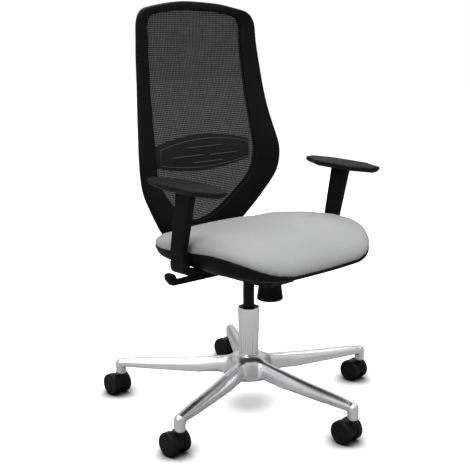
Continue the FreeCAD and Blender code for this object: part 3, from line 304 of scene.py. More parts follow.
weave, into, outof = effect("weave", [("Place", VECTOR, None), ("Pitch", FLOAT, 0.002)],
                            ["Height", "Holes", "Slub"])
parts = node(weave, "ShaderNodeSeparateXYZ")
link(weave, into, "Place", parts, 0)
turn = combine(weave, "DIVIDE", 2 * math.pi, (into, "Pitch"))
waves = []
for across in ("X", "Z"):
    phase = combine(weave, "MULTIPLY", (parts, across), (turn, 0))
    waves.append(combine(weave, "COSINE", (phase, 0), None))
over = combine(weave, "MULTIPLY", (waves[0], 0), (waves[1], 0))
link(weave, over, 0, outof, "Height")
valleys = [combine(weave, "MULTIPLY_ADD", (wave, 0), 0.5) for wave in waves]
for item in valleys:
    item.inputs[2].default_value = 0.5
hole = combine(weave, "MULTIPLY", (valleys[0], 0), (valleys[1], 0))
link(weave, hole, 0, outof, "Holes")
slubs = []
for stretch in ((30, 30, 560), (560, 30, 30)):
    pull = node(weave, "ShaderNodeVectorMath", operation="MULTIPLY", in_1=stretch)
    link(weave, into, "Place", pull, 0)
    thread = node(weave, "ShaderNodeTexNoise", in_Scale=1.0, in_Detail=2.0)
    link(weave, pull, 0, thread, "Vector")
    slubs.append(thread)
slub = combine(weave, "ADD", (slubs[0], 0), (slubs[1], 0))
slub = combine(weave, "MULTIPLY", (slub, 0), 0.5)
link(weave, slub, 0, outof, "Slub")
print("groups:", grain.name, buffing.name, weave.name)

# %% [markdown]
# ## The finishes
# Each material starts the same way: a Principled shader whose constants are set on its own sockets, and
# an effect group fed by object coordinates, so that the pattern stays put when the part moves.

# %% Materials


def finish(name, colour, roughness, metallic=0.0, **sockets):
    """A material with its shader, its object coordinates and its output."""
    material = bpy.data.materials.new(name)
    material.use_nodes = True
    tree = material.node_tree
    shader = tree.nodes["Principled BSDF"]
    shader.inputs["Base Color"].default_value = (*colour, 1)
    shader.inputs["Roughness"].default_value = roughness
    shader.inputs["Metallic"].default_value = metallic
    for socket, value in sockets.items():
        shader.inputs[socket.replace("_", " ")].default_value = value
    return material, tree, shader, node(tree, "ShaderNodeTexCoord")


def use(tree, group, place, **settings):
    item = node(tree, "ShaderNodeGroup", node_tree=group)
    for socket, value in settings.items():
        item.inputs[socket].default_value = value
    link(tree, place, "Object", item, "Place")
    return item


def ranged(tree, source, output, low, high, target):
    """Feeds a 0 to 1 mask to a shader's socket as values from low to high."""
    item = node(tree, "ShaderNodeMapRange", in_3=low, in_4=high)
    link(tree, source, output, item, 0)
    link(tree, item, 0, target[0], target[1])


def tinted(tree, source, output, low, high, shader):
    item = node(tree, "ShaderNodeMix", data_type="RGBA")
    item.inputs[6].default_value, item.inputs[7].default_value = (*low, 1), (*high, 1)
    link(tree, source, output, item, 0)
    link(tree, item, 2, shader, "Base Color")
    return item


def bumped(tree, source, output, strength, distance, shader):
    item = node(tree, "ShaderNodeBump", in_Strength=strength, in_Distance=distance)
    link(tree, source, output, item, "Height")
    link(tree, item, 0, shader, "Normal")


def plastic(name, dark, light, smooth, rough, grain_scale, depth, **sockets):
    """Moulded plastic: fine grain, and faint patches rubbed smoother and a little lighter."""
    material, tree, shader, place = finish(name, dark, rough, **sockets)
    effect_node = use(tree, grain, place, Grain=grain_scale)
    tinted(tree, effect_node, "Rubbed", dark, light, shader)
    ranged(tree, effect_node, "Rubbed", rough, smooth, (shader, "Roughness"))
    bumped(tree, effect_node, "Height", 0.35, depth, shader)
    return material


def metal(name, dark, light, smooth, rough, stretch, depth):
    """Buffed metal: fine parallel marks and a slow haze."""
    material, tree, shader, place = finish(name, dark, rough, 1.0)
    effect_node = use(tree, buffing, place, Stretch=stretch)
    tinted(tree, effect_node, "Haze", dark, light, shader)
    ranged(tree, effect_node, "Haze", smooth, rough, (shader, "Roughness"))
    bumped(tree, effect_node, "Height", 0.25, depth, shader)
    return material


finishes = {
    "polished_aluminium": metal("polished aluminium", (0.7, 0.7, 0.71), (0.84, 0.84, 0.85), 0.22, 0.34,
                                (60, 60, 500), 0.00008),
    "chrome_sleeve": metal("spun sleeve", (0.78, 0.78, 0.79), (0.9, 0.9, 0.91), 0.06, 0.12,
                           (500, 500, 12), 0.00008),
    "bright_steel": metal("bright steel", (0.5, 0.5, 0.51), (0.62, 0.62, 0.63), 0.2, 0.32,
                          (300, 300, 300), 0.00004),
    "black_metal": plastic("black lacquered steel", (0.004, 0.004, 0.004), (0.006, 0.006, 0.006), 0.3, 0.42,
                           1400, 0.00003, Specular_IOR_Level=0.14),
    "black_plastic": plastic("black moulded plastic", (0.0035, 0.0035, 0.0035), (0.005, 0.005, 0.0052), 0.4,
                             0.52, 1100, 0.00006, Specular_IOR_Level=0.08),
    "castor_plastic": plastic("castor nylon", (0.004, 0.004, 0.004), (0.007, 0.007, 0.007), 0.34, 0.5, 700,
                              0.00008, Specular_IOR_Level=0.12),
    "arm_pad_plastic": plastic("soft arm pad", (0.004, 0.004, 0.004), (0.006, 0.006, 0.0062), 0.5, 0.62, 800,
                               0.00012, Specular_IOR_Level=0.11),
    "plywood": plastic("birch board", (0.3, 0.2, 0.11), (0.42, 0.3, 0.18), 0.5, 0.7, 200, 0.0001),
}
print("finishes:", ", ".join(finishes))

# %% [markdown]
# The seat is covered in a light grey woven cloth. Its threads are only a millimetre apart, so from two
# metres they show as softness: a fine bump, a slow change of tone, and the sheen of loose fibres at
# grazing angles.

# %% Seat cloth
cloth, tree, shader, place = finish("grey seat cloth", (0.29, 0.29, 0.29), 0.85, Sheen_Weight=0.15,
                                    Sheen_Roughness=0.5, Specular_IOR_Level=0.2)
threads = use(tree, weave, place, Pitch=0.0016)
fuzz = use(tree, grain, place, Grain=420, Patch=6)
tinted(tree, fuzz, "Rubbed", (0.272, 0.274, 0.275), (0.3, 0.301, 0.299), shader)
knit = combine(tree, "ADD", (threads, "Height"), (fuzz, "Height"))
bumped(tree, knit, 0, 0.4, 0.00035, shader)
ranged(tree, threads, "Slub", 0.95, 0.78, (shader, "Roughness"))
finishes["seat_fabric"] = cloth

# %% [markdown]
# The back's mesh is black thread with small gaps that let a few percent of the light behind it through.
# The gaps are the same everywhere, so the lumbar pad shows as a darker shape wherever it slides.

# %% Back mesh cloth
netting, tree, shader, place = finish("back mesh", (0.006, 0.006, 0.006), 0.75, Specular_IOR_Level=0.2)
threads = use(tree, weave, place, Pitch=0.0048)
mottle = combine(tree, "ADD", (threads, "Slub"), (threads, "Holes"))
mottle = combine(tree, "MULTIPLY", (mottle, 0), 0.6)
tinted(tree, mottle, 0, (0.0015, 0.0015, 0.0015), (0.017, 0.017, 0.0173), shader)
bumped(tree, threads, "Height", 0.5, 0.0003, shader)
gap_light = combine(tree, "MULTIPLY", (threads, "Holes"), (threads, "Slub"))
gap_light = combine(tree, "MULTIPLY", (gap_light, 0), 0.26)
solid = combine(tree, "SUBTRACT", 1.0, (gap_light, 0))
link(tree, solid, 0, shader, "Alpha")
finishes["mesh_fabric"] = netting
# The ribs and the border get a lighter grey than the pad: a painted highlight along the lines they press into
# the knit.
finishes["rib"] = plastic("lumbar rib with painted highlight", (0.034, 0.034, 0.034), (0.05, 0.05, 0.05), 0.5, 0.65, 900, 0.00004)
print("cloths ready")

# %% [markdown]
# ## Finishes for the solids that stay
# The record names a material slot for each solid. The hard parts keep their shape and get that slot's
# finish.

# %% Dress the solids
slot_of = {part["node"]: part["material_slot"] for part in frame["record"]["subparts"]}
for name, solid in nodes.items():
    solid.data.materials.clear()
    solid.data.materials.append(finishes[slot_of[name]])
print({slot: sum(value == slot for value in slot_of.values()) for slot in finishes})

# %% [markdown]
# ## The star base
# The base is cast aluminium, ground and polished until every edge is soft, and that softness is what
# makes its long highlights. A voxel remesh of the solid gives it an even skin, and smoothing that skin
# rounds the edges and fills the inside corners, more where the legs run into the hub. The hole for the
# column is left out of the smoothing.

# %% Star base
BASE_VOXEL, BASE_PASSES, HUB_PASSES = 0.0021, 6, 48


def coordinates(mesh):
    flat = np.zeros(len(mesh.vertices) * 3)
    mesh.vertices.foreach_get("co", flat)
    return flat.reshape(-1, 3)


def baked(piece):
    """The piece's evaluated mesh, with no modifier left."""
    depsgraph = bpy.context.evaluated_depsgraph_get()
    mesh = bpy.data.meshes.new_from_object(piece.evaluated_get(depsgraph))
    piece.modifiers.clear()
    piece.data = mesh
    return mesh


def merged_copy(name, node_name):
    """A copy of a solid with its loose triangles joined."""
    work = bmesh.new()
    work.from_mesh(nodes[node_name].data)
    bmesh.ops.remove_doubles(work, verts=work.verts, dist=2e-6)
    mesh = bpy.data.meshes.new(name)
    work.to_mesh(mesh)
    work.free()
    piece = bpy.data.objects.new(name, mesh)
    bpy.context.scene.collection.objects.link(piece)
    return piece


def calmed(mesh, values, passes, weight):
    """Moves each point's row of three numbers towards its neighbours' mean, by its weight, several times."""
    ends = np.zeros(len(mesh.edges) * 2, int)
    mesh.edges.foreach_get("vertices", ends)
    first, second = ends.reshape(-1, 2).T
    count = len(values)
    degree = np.bincount(ends, minlength=count)
    for _ in range(passes):
        mean = [(np.bincount(first, row[second], count) + np.bincount(second, row[first], count)) / degree
                for row in values.T]
        values = values + 0.6 * weight[:, None] * (np.stack(mean, 1) - values)
    return values


def smoothed(piece, passes, weight):
    piece.data.vertices.foreach_set("co", calmed(piece.data, coordinates(piece.data), passes, weight).ravel())


base = merged_copy("base_casting", "star_base")
remesh = base.modifiers.new("even skin", "REMESH")
remesh.mode, remesh.voxel_size = "VOXEL", BASE_VOXEL
start = coordinates(baked(base))
reach = np.hypot(start[:, 0], start[:, 1])
by_column = reach < 0.031
smoothed(base, BASE_PASSES, np.where(by_column, 0.0, 1.0))
smoothed(base, HUB_PASSES, np.where(by_column, 0.0, np.clip((0.125 - reach) / 0.05, 0, 1)))
base.data.materials.clear()
base.data.materials.append(finishes["polished_aluminium"])
base.data.polygons.foreach_set("use_smooth", [True] * len(base.data.polygons))
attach(base, "base")
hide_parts("star_base")
print("base:", len(base.data.polygons), "faces")

# %% [markdown]
# ## The seat's outline
# Seen from above the seat is a rectangle with large round corners. The tray's rim rises along the sides
# and dips at the front, where the cushion rolls over the edge. The tables give heights in millimetres
# from the rear (0) to the front (1).

# %% Seat tables
low_corner, high_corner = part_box("seat_cushion")
SEAT_FRONT, SEAT_REAR = low_corner.y, high_corner.y
SEAT_HALF = high_corner.x - 0.5 * MM
RIM = eased([(0, 427), (0.22, 427.5), (0.37, 431), (0.52, 436), (0.66, 440.5), (0.76, 437), (0.86, 425),
             (0.93, 411), (0.97, 404), (1, 400)])
TRAY_SIDE = eased([(0, 408), (0.2, 402), (0.5, 398), (0.78, 393), (0.9, 384), (1, 378)])
TRAY_FLOOR = eased([(0, 390), (0.2, 384), (0.8, 384), (0.92, 380), (1, 376)])
CROWN_SIDE = eased([(0, 435), (0.12, 447), (0.22, 451.5), (0.38, 459.5), (0.55, 463), (0.68, 461), (0.8, 454),
                    (0.9, 440), (0.96, 426), (1, 410)])
CROWN_MIDDLE = eased([(0, 438), (0.12, 451), (0.25, 457), (0.4, 459), (0.6, 459), (0.74, 455.5),
                      (0.85, 446.5), (0.93, 433), (0.97, 422), (1, 411)])


def seat_share(y):
    return np.clip((SEAT_REAR - y) / (SEAT_REAR - SEAT_FRONT), 0, 1)


def rim_height(plan):
    """The tray's rim over points in plan: the table's height, with a dip in the middle of the front."""
    share = seat_share(plan[:, 1])
    out = np.clip(np.abs(plan[:, 0]) / SEAT_HALF, 0, 1)
    return RIM(share) - FRONT_DIP * (1 - out ** 2) * np.clip((share - 0.75) * 4, 0, 1)


FRONT_BOW, FRONT_DIP = 0.007, 10.0
seat_plan = rounded_plan(SEAT_HALF, SEAT_FRONT, SEAT_REAR, 0.14, 0.13, 240)
toward_front = np.clip(seat_share(seat_plan[:, 1]) * 2 - 1, 0, 1)
seat_plan[:, 1] += FRONT_BOW * (seat_plan[:, 0] / SEAT_HALF) ** 2 * toward_front


def lifted(plan, z):
    return np.column_stack([plan, z])


print("seat", round(2 * SEAT_HALF, 3), "wide,", round(SEAT_REAR - SEAT_FRONT, 3), "deep")

# %% [markdown]
# ## The tray under the cushion
# The real tray is one moulding a few millimetres thick: a flat floor, a swept side, and a small lip
# around the top that hides the cloth's edge. A stack of rings drawn in from the outline gives it, outside
# first, then over the lip and down inside.

# %% Tray
TRAY_INSET = 5 * MM
TRAY_THICK = 3.2
TRAY_MIDDLE = 384.0
tray_plan = drawn_in(seat_plan, TRAY_INSET)


def tray_ring(inset, part, lift=0.0):
    """A ring at an inset; part runs from 0 at the floor through 1 at the side's foot to 2 at the rim."""
    plan = drawn_in(tray_plan, inset * MM)
    share = seat_share(plan[:, 1])
    floor, side, rim = TRAY_FLOOR(share), TRAY_SIDE(share), rim_height(plan)
    z = floor + (side - floor) * part if part <= 1 else side + (rim - side) * (part - 1)
    return lifted(plan, (z + lift) * MM)


OUTSIDE = [(64, 0.02), (48, 0.25), (34, 0.6), (22, 0.96), (14, 1.1), (8, 1.24), (4, 1.4), (1.6, 1.6),
           (0.7, 1.78)]
LIP = [(0.4, 2.0, -5.6), (-0.5, 2.0, -5.0), (-0.9, 2.0, -3.6), (-0.9, 2.0, -1.6), (-0.3, 2.0, -0.4),
       (0.8, 2.0, 0), (2.4, 2.0, -0.1), (3.3, 2.0, -0.8), (3.5, 2.0, -2.5)]
INSIDE = [(4.4, 1.6), (7.5, 1.42), (12, 1.3), (18, 1.18), (26, 1.02), (38, 0.66), (52, 0.3), (66, 0.05)]
rings = [tray_ring(*row) for row in OUTSIDE] + [tray_ring(*row) for row in LIP]
rings += [tray_ring(inset, part, TRAY_THICK) for inset, part in INSIDE]
centre_y = (SEAT_FRONT + SEAT_REAR) / 2
flat_floor = []
for shrink in (0.25, 0.6):
    ring = rings[0].copy()
    ring[:, 0] *= 1 - shrink
    ring[:, 1] = centre_y + (ring[:, 1] - centre_y) * (1 - shrink)
    flat_floor.append(lifted(ring[:, :2], TRAY_FLOOR(seat_share(ring[:, 1])) * MM))
inner_floor = [ring + np.array([0, 0, TRAY_THICK * MM]) for ring in flat_floor]
rings = flat_floor[::-1] + rings + inner_floor
tray = skin("seat_tray", rings, (0, centre_y, TRAY_MIDDLE * MM),
            (0, centre_y, (TRAY_MIDDLE + TRAY_THICK) * MM))
tray.data.materials.append(finishes["black_plastic"])
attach(tray, "seat")
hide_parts("seat_shell")
print("tray:", len(tray.data.polygons), "faces")

# %% [markdown]
# ## The cushion
# A block of moulded foam under tight cloth: crowned on top, full at the edge, rolled over at the front.
# It starts as rings a little smaller than the real one. A cloth simulation then blows it up gently with
# its lower edge held, which gives the even, taut swelling that no table of heights has.

# %% Cushion before it swells
EDGE = [(11, 0.0, -3.0), (5.5, 0.0, 0.4), (2.6, 0.05, 0.4), (0.6, 0.18, 0), (0.2, 0.34, 0), (1.2, 0.52, 0),
        (3.4, 0.68, 0), (7, 0.82, 0), (12, 0.92, 0), (19, 0.985, 0), (28, 1.0, 0)]


def crown(plan):
    """Height of the cushion's top over points in plan."""
    share = seat_share(plan[:, 1])
    side, middle = CROWN_SIDE(share), CROWN_MIDDLE(share)
    out = np.clip(np.abs(plan[:, 0]) / (SEAT_HALF - 0.02), 0, 1)
    return side + (middle - side) * (1 - out ** 2.2)


def cushion_ring(inset, part, lift):
    plan = drawn_in(seat_plan, inset * MM)
    rim = rim_height(plan)
    return lifted(plan, (rim + (crown(plan) - rim) * part + lift) * MM)


rings = [cushion_ring(*row) for row in EDGE]
for shrink in np.linspace(0.08, 0.92, 14):
    plan = rings[len(EDGE) - 1][:, :2] * [1 - shrink, 1]
    plan[:, 1] = centre_y + (plan[:, 1] - centre_y) * (1 - shrink)
    rings.append(lifted(plan, crown(plan) * MM))
middle = np.array([[0.0, centre_y]])
cushion = skin("seat_cushion_cover", rings, (0, centre_y, 0.41), (0, centre_y, crown(middle)[0] * MM))
print("cushion starts with", len(cushion.data.vertices), "points")

# %% Swell the cushion
VOXEL, PRESSURE, LAST_FRAME = 0.006, 4.0, 20


def swell(piece, held, cap):
    """Blows the piece up with cloth, holding the points that held(co) picks and capping the movement."""
    remesh = piece.modifiers.new("remesh", "REMESH")
    remesh.mode, remesh.voxel_size, remesh.use_smooth_shade = "VOXEL", VOXEL, True
    start = coordinates(baked(piece))
    pin = piece.vertex_groups.new(name="held")
    pin.add([int(k) for k in np.nonzero(held(start))[0]], 1.0, "REPLACE")
    cloth_modifier = piece.modifiers.new("cloth", "CLOTH")
    settings = cloth_modifier.settings
    settings.use_pressure, settings.uniform_pressure_force = True, PRESSURE
    settings.effector_weights.gravity = 0
    settings.vertex_group_mass = "held"
    settings.tension_stiffness = settings.compression_stiffness = 30
    settings.bending_stiffness = 2
    cloth_modifier.point_cache.frame_start, cloth_modifier.point_cache.frame_end = 1, LAST_FRAME
    for step in range(1, LAST_FRAME + 1):
        bpy.context.scene.frame_set(step)
    moved = coordinates(baked(piece)) - start
    bpy.context.scene.frame_set(1)
    far = np.linalg.norm(moved, axis=1)
    print("swelled by", round(far.mean() / MM, 2), "mm on average,", round(far.max() / MM, 2), "at most")
    moved *= (cap * np.tanh(far / cap) / np.maximum(far, 1e-9))[:, None]
    everywhere = np.ones(len(start))
    moved = calmed(piece.data, moved, 25, everywhere)
    piece.data.vertices.foreach_set("co", (start + moved).ravel())
    piece.vertex_groups.clear()
    smoothed(piece, 6, np.where(held(start), 0.0, 1.0))
    fine = piece.modifiers.new("fine", "SUBSURF")
    fine.levels = fine.render_levels = 1
    baked(piece)


def below_lip(points):
    return points[:, 2] < (rim_height(points) + 3) * MM


swell(cushion, below_lip, 4 * MM)
cushion.data.materials.clear()
cushion.data.materials.append(cloth)
cushion.data.polygons.foreach_set("use_smooth", [True] * len(cushion.data.polygons))
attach(cushion, "seat")
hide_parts("seat_cushion")
print("cushion:", len(cushion.data.polygons), "faces")

# %% [markdown]
# ## The mesh in the back
# One sheet of knitted mesh is stretched across the frame's opening and tucked behind its inner edge. It
# is a grid: rows follow the opening's width, and a hollow lets the back lean in. Its place comes from two
# tables of the opening, in millimetres.

# %% Mesh sheet
OPENING = [(441.5, 0), (442.5, 13), (446, 28), (455, 50), (482, 86), (520, 125.4), (547, 148.5), (585, 163.6),
           (620, 166.5), (660, 164.7), (707, 161.6), (755, 158.9), (800, 156.3), (860, 153.3), (905, 151.8),
           (932, 151), (946, 143), (955, 118), (961.5, 66), (964, 0)]
DEPTH = [(441.5, 183), (455, 177), (482, 167), (520, 154.6), (547, 147), (585, 142), (620, 142.4),
         (660, 148.6), (707, 157.5), (755, 165.5), (800, 171.8), (860, 178), (905, 181.3),
         (932, 182.3), (964, 184)]
opening_at, opening_half = zip(*OPENING)
ring_depth = eased(DEPTH, 0.03)
HOLLOW_HALF, MESH_INSET, MESH_HOLLOW, MESH_FADE = 166.5, 3.0, 5.0, 90.0
OPENING_FOOT, OPENING_HEAD = opening_at[0], opening_at[-1]
OPENING_MIDDLE = 702.75


def mesh_depth(x, z):
    """How far back the mesh's front lies, in millimetres."""
    fade = np.clip(np.minimum(OPENING_HEAD - z, z - OPENING_FOOT) / MESH_FADE, 0, 1)
    hollow = MESH_HOLLOW * np.maximum(0, 1 - (x / HOLLOW_HALF) ** 2) * fade
    return ring_depth(z) + MESH_INSET + hollow


ROWS, COLUMNS, TUCK, MESH_REACH, MESH_BACK = 90, 48, 3.0, 261.24, 0.8
MESH_TALLER = 1 + TUCK / 262
points = []
for row in range(ROWS + 1):
    z = OPENING_MIDDLE - MESH_REACH * math.cos(math.pi * row / ROWS)
    half = np.interp(z, opening_at, opening_half) + TUCK
    z = OPENING_MIDDLE + (z - OPENING_MIDDLE) * MESH_TALLER
    for column in range(COLUMNS + 1):
        x = half * (2 * column / COLUMNS - 1)
        points.append((x * MM, (mesh_depth(x, z) + MESH_BACK) * MM, z * MM))
faces = [(r * (COLUMNS + 1) + c, r * (COLUMNS + 1) + c + 1, (r + 1) * (COLUMNS + 1) + c + 1,
          (r + 1) * (COLUMNS + 1) + c) for r in range(ROWS) for c in range(COLUMNS)]
mesh = bpy.data.meshes.new("back_netting")
mesh.from_pydata(points, [], faces)
mesh.polygons.foreach_set("use_smooth", [True] * len(faces))
netting_piece = bpy.data.objects.new("back_netting", mesh)
bpy.context.scene.collection.objects.link(netting_piece)
mesh.materials.append(netting)
sheet_area = sum(face.area for face in mesh.polygons)
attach(netting_piece, "back")
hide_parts("back_mesh")
print("mesh sheet area", round(sheet_area, 4))

# %% [markdown]
# ## The lumbar support
# Behind the mesh a lens-shaped pad slides up and down on the frame. It has a raised rim, a groove inside
# it, and short staggered ribs. The pad is a stack of lens outlines; the ribs repeat, so Geometry Nodes
# place them.

# %% Lumbar pad
LUMBAR_Z = 617.0
LENS_HALF, LENS_END, LENS_RISE, LENS_FALL, LENS_GAP = 158.0, 24.0, 46.0, 44.0, 8.5


def lens(inset, count=160):
    """The pad's outline, drawn in: two arcs and two short ends, anticlockwise from the front."""
    half, end = LENS_HALF - inset, LENS_END - inset * 0.55
    points = []
    for tall, sign in ((LENS_FALL - inset, -1), (LENS_RISE - inset, 1)):
        x = np.linspace(-half, half, 80) * -sign
        points += [(a, sign * (end + (tall - end) * (1 - (a / half) ** 2))) for a in x]
    return even(np.array(points), count)


def lens_ring(inset, back):
    plan = lens(inset)
    z = plan[:, 1] + LUMBAR_Z
    return np.column_stack([plan[:, 0], mesh_depth(plan[:, 0], z) + LENS_GAP + back, z]) * MM


FRONT = [(30, 0.5), (14, 0.4), (11.4, 0.4), (10.8, 1.5), (9.2, 1.5), (8.6, 0.2), (7.6, 0), (2.6, 0),
         (1.0, 0.5), (0.2, 1.6), (0, 3)]
BACK = [(0, 6), (0.4, 7.8), (1.6, 8.8), (3, 9), (8, 9), (9.4, 8.4), (10, 6.4), (24, 6), (34, 6)]
rings = [lens_ring(*row) for row in FRONT + BACK]
middle_y = mesh_depth(0, LUMBAR_Z) + LENS_GAP
lumbar = skin("lumbar_lens", rings, (0, (middle_y + 0.6) * MM, LUMBAR_Z * MM),
              (0, (middle_y + 6) * MM, LUMBAR_Z * MM))
lumbar.data.materials.append(finishes["black_plastic"])
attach(lumbar, "lumbar")
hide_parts("lumbar_pad")

# %% [markdown]
# The pad's raised border and its ribs press into the knit. Thin bars just in front of the mesh stand for
# them and slide with the pad; their lighter grey is a painted highlight along these lines.

# %% Lumbar border
BORDER = [(11.2, -8.2), (10.2, -8.8), (9.2, -8.2), (10.2, -7.9), (11.2, -8.2)]
border = skin("lumbar_border", [lens_ring(*row) for row in BORDER])
border.data.materials.append(finishes["rib"])
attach(border, "lumbar")

# %% Repeating things on points


def repeat_tree():
    """Geometry Nodes: a piece on every point, turned and stretched by the point's own numbers."""
    tree = bpy.data.node_groups.new("piece on points", "GeometryNodeTree")
    sockets = {}
    for label, kind in (("Points", "NodeSocketGeometry"), ("Piece", "NodeSocketObject"), ("Size", FLOAT),
                        ("Finish", "NodeSocketMaterial")):
        sockets[label] = tree.interface.new_socket(label, in_out="INPUT", socket_type=kind).identifier
    tree.interface.new_socket("Made", in_out="OUTPUT", socket_type="NodeSocketGeometry")
    into, outof = node(tree, "NodeGroupInput"), node(tree, "NodeGroupOutput")
    source = node(tree, "GeometryNodeObjectInfo")
    turn = node(tree, "GeometryNodeInputNamedAttribute", data_type="FLOAT_VECTOR", in_Name="turn")
    stretch = node(tree, "GeometryNodeInputNamedAttribute", data_type="FLOAT_VECTOR", in_Name="stretch")
    angle = node(tree, "FunctionNodeEulerToRotation")
    scale = node(tree, "ShaderNodeVectorMath", operation="SCALE")
    place = node(tree, "GeometryNodeInstanceOnPoints")
    real = node(tree, "GeometryNodeRealizeInstances")
    paint = node(tree, "GeometryNodeSetMaterial")
    for start, output, end, entry in ((into, "Points", place, "Points"), (into, "Piece", source, "Object"),
                                      (source, "Geometry", place, "Instance"), (turn, 0, angle, 0),
                                      (angle, 0, place, "Rotation"), (stretch, 0, scale, 0),
                                      (into, "Size", scale, "Scale"), (scale, 0, place, "Scale"),
                                      (place, 0, real, 0), (real, 0, paint, 0),
                                      (into, "Finish", paint, "Material"), (paint, 0, outof, 0)):
        link(tree, start, output, end, entry)
    return tree, sockets


REPEAT, REPEAT_INPUTS = repeat_tree()


def repeat(name, unit, spots, material, size=1.0):
    """Places unit on spots of (place, turn, stretch) and returns the plain mesh."""
    mesh = bpy.data.meshes.new(name)
    mesh.from_pydata([spot[0] for spot in spots], [], [])
    for label, column in (("turn", 1), ("stretch", 2)):
        values = np.array([spot[column] for spot in spots], float).ravel()
        mesh.attributes.new(label, "FLOAT_VECTOR", "POINT").data.foreach_set("vector", values)
    piece = bpy.data.objects.new(name, mesh)
    bpy.context.scene.collection.objects.link(piece)
    modifier = piece.modifiers.new("repeat", "NODES")
    modifier.node_group = REPEAT
    for label, value in (("Piece", unit), ("Size", size), ("Finish", material)):
        modifier[REPEAT_INPUTS[label]] = value
    baked(piece)
    piece.data.polygons.foreach_set("use_smooth", [True] * len(piece.data.polygons))
    print(name, "-", len(spots), "times,", len(piece.data.polygons), "faces")
    return piece


def pill(name, rings=5, around=10):
    """A bar along X, 1 long and 1 thick, with round ends: the unit that ribs are made of."""
    stack = []
    for k in range(rings):
        lean = math.pi / 2 * (1 - (k + 0.5) / rings)
        stack.append((-0.5 + 0.02 * (1 - math.sin(lean)), math.cos(lean) * 0.5))
    stack += [(-x, r) for x, r in reversed(stack)]
    turns = [2 * math.pi * k / around for k in range(around)]
    return skin(name, [np.array([(x, r * math.cos(t), r * math.sin(t)) for t in turns]) for x, r in stack],
                (-0.5, 0, 0), (0.5, 0, 0))


def put_away(unit):
    bpy.data.objects.remove(unit, do_unlink=True)


# %% Ribs on the lumbar pad
bar = pill("rib_unit")
RIB_PROUD = 0.7
RIBS = [(-1.3, 17, 122), (-59.4, -3, 101), (59.4, -5, 96), (7.6, -21, 99)]
spots = []
for x, up, long in RIBS:
    z = LUMBAR_Z + up
    spots.append(((x * MM, (mesh_depth(x, z) - RIB_PROUD) * MM, z * MM), (0, 0, 0),
                  (long * MM, 1 * MM, 2.4 * MM)))
ribs = repeat("lumbar_ribs", bar, spots, finishes["rib"])
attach(ribs, "lumbar")

# %% [markdown]
# The same unit, turned a quarter, makes the stiffening ribs under the tray, on both sides of the steel
# plate.

# %% Ribs under the tray
QUARTER = math.pi / 2
spots = [((side * x * MM, y * MM, 383.4 * MM), (0, 0, QUARTER), (long * MM, 3 * MM, 5 * MM))
         for side in (-1, 1) for x in (98, 110, 122, 134) for y, long in ((-126, 82), (36, 88))]
tray_ribs = repeat("tray_ribs", bar, spots, finishes["black_plastic"])
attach(tray_ribs, "seat")
put_away(bar)

# %% [markdown]
# ## The arm pads
# A long soft pad with pointed, rounded ends, thin at the edge and slightly crowned. Its plan is a polygon
# whose corners are cut again and again until it is smooth, which is how a spline grows out of straight
# runs.

# %% Arm pads


def corner_cut(points, cuts):
    """Cuts every corner, once for each share in cuts; a small first share keeps the corners crisp."""
    for share in cuts:
        after = np.roll(points, -1, 0)
        pairs = np.stack([points + share * (after - points), after + share * (points - after)], 1)
        points = pairs.reshape(-1, 2)
    return points


PAD_PITCH, PAD_POINTS, SPINE_END, PAD_THICK = 0.035, 160, 0.045, 0.016
PAD_RINGS = [(24, 0.0), (15, 0.0), (9, 0.2), (4.5, 3.4), (1.4, 6.6), (0.3, 8.2), (0.0, 9.6), (0.2, 11.4),
             (1.0, 13.2), (2.6, 14.6), (5.5, 15.4), (10, 15.7), (17, 15.9)]


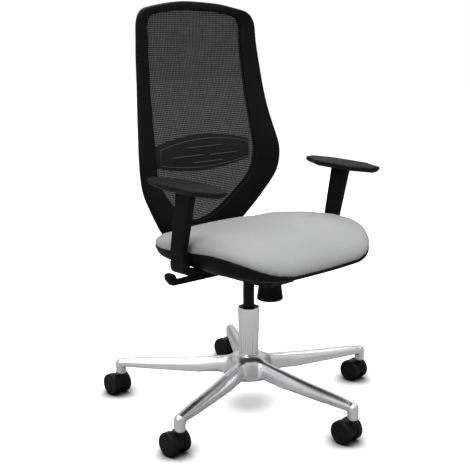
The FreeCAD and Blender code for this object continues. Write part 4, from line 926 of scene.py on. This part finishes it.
def arm_pad(name, node_name):
    low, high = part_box(node_name)
    middle, front, rear = (low.x + high.x) / 2, low.y, high.y
    side = 1 if middle > 0 else -1
    half, end, tip, skew = (high.x - low.x) / 2, 0.058, 0.015, 0.005 * side
    plan = [(-tip, front), (tip, front), (half * 0.62, front + end * 0.48), (half * 0.97, front + end),
            (half, front + end * 1.25), (half, rear - end * 1.25), (half * 0.97, rear - end),
            (half * 0.64 + skew, rear - end * 0.48), (tip + skew, rear), (-tip + skew, rear),
            (-half * 0.62 + skew, rear - end * 0.48), (-half * 0.97, rear - end), (-half, rear - end * 1.25),
            (-half, front + end * 1.25), (-half * 0.97, front + end), (-half * 0.62, front + end * 0.48)]
    y = (front + rear) / 2
    outline = even(corner_cut(np.array(plan) + [middle, 0], (0.16, 0.25, 0.25, 0.25)), PAD_POINTS)
    along = np.clip(outline[:, 1], front + SPINE_END, rear - SPINE_END)
    spine = np.column_stack([np.full(PAD_POINTS, middle), along])
    rings = []
    for inset, up in PAD_RINGS:
        ring = drawn_in(outline, min(inset, 9) * MM)
        ring = ring + (spine - ring) * max(0, inset - 9) / 32
        rings.append(lifted(ring, np.full(PAD_POINTS, low.z + up * MM * (high.z - low.z) / PAD_THICK)))
    for share in (0.7, 0.9):
        ring = drawn_in(outline, 9 * MM)
        ring = ring + (spine - ring) * share
        rings.append(lifted(ring, np.full(PAD_POINTS, high.z - 0.1 * MM)))
        rings.insert(0, lifted(ring, np.full(PAD_POINTS, low.z)))
    rings.append(lifted(spine, np.full(PAD_POINTS, high.z)))
    rings.insert(0, lifted(spine, np.full(PAD_POINTS, low.z)))
    for ring in rings:
        ring[:, 2] += PAD_PITCH * (ring[:, 1] - y)
    piece = skin(name, rings)
    piece.data.materials.append(finishes["arm_pad_plastic"])
    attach(piece, "seat")
    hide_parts(node_name)
    return piece


for side in ("left", "right"):
    pad = arm_pad("arm_rest_" + side, "arm_pad_" + side)
    print(pad.name, len(pad.data.polygons), "faces")

# %% [markdown]
# ## The floor
# A plain white sweep, large enough that no edge shows. It belongs to the stage, not to the chair. For the
# camera it glows white, with painted contact shadows round the feet; reflections see it painted dark grey.

# %% Floor
FLOOR_HALF = 14.0
floor = new_piece("floor", [(-FLOOR_HALF, -FLOOR_HALF, 0), (FLOOR_HALF, -FLOOR_HALF, 0),
                            (FLOOR_HALF, FLOOR_HALF, 0), (-FLOOR_HALF, FLOOR_HALF, 0)], [(0, 1, 2, 3)])
paper, tree, shader, place = finish("white paper", (0.8, 0.8, 0.8), 0.9, Specular_IOR_Level=0.1,
                                    Emission_Color=(1, 1, 1, 1))
ray = node(tree, "ShaderNodeLightPath")
# Painted contact shadow: an occlusion node darkens the floor's colour and its glow near the castors and under
# the base.
contact = node(tree, "ShaderNodeAmbientOcclusion", samples=16, in_Distance=0.08)
painted_contact_shadow = combine(tree, "POWER", (contact, "AO"), 2.8)
camera_glow_with_painted_shadow = combine(tree, "MULTIPLY", (ray, "Is Camera Ray"), 0.5)
camera_glow_with_painted_shadow = combine(tree, "MULTIPLY", (camera_glow_with_painted_shadow, 0), (painted_contact_shadow, 0))
link(tree, camera_glow_with_painted_shadow, 0, shader, "Emission Strength")
# Painted light by ray: the floor's colour is near white for the camera and dark grey for reflections and
# bounced light, and the painted contact shadow darkens both.
own = tinted(tree, ray, "Is Camera Ray", (0.32, 0.32, 0.32), (0.95, 0.95, 0.95), shader)
shaded = node(tree, "ShaderNodeMix", data_type="RGBA", blend_type="MULTIPLY", in_0=1.0)
link(tree, own, 2, shaded, 6)
link(tree, painted_contact_shadow, 0, shaded, 7)
link(tree, shaded, 2, shader, "Base Color")
floor.data.materials.append(paper)
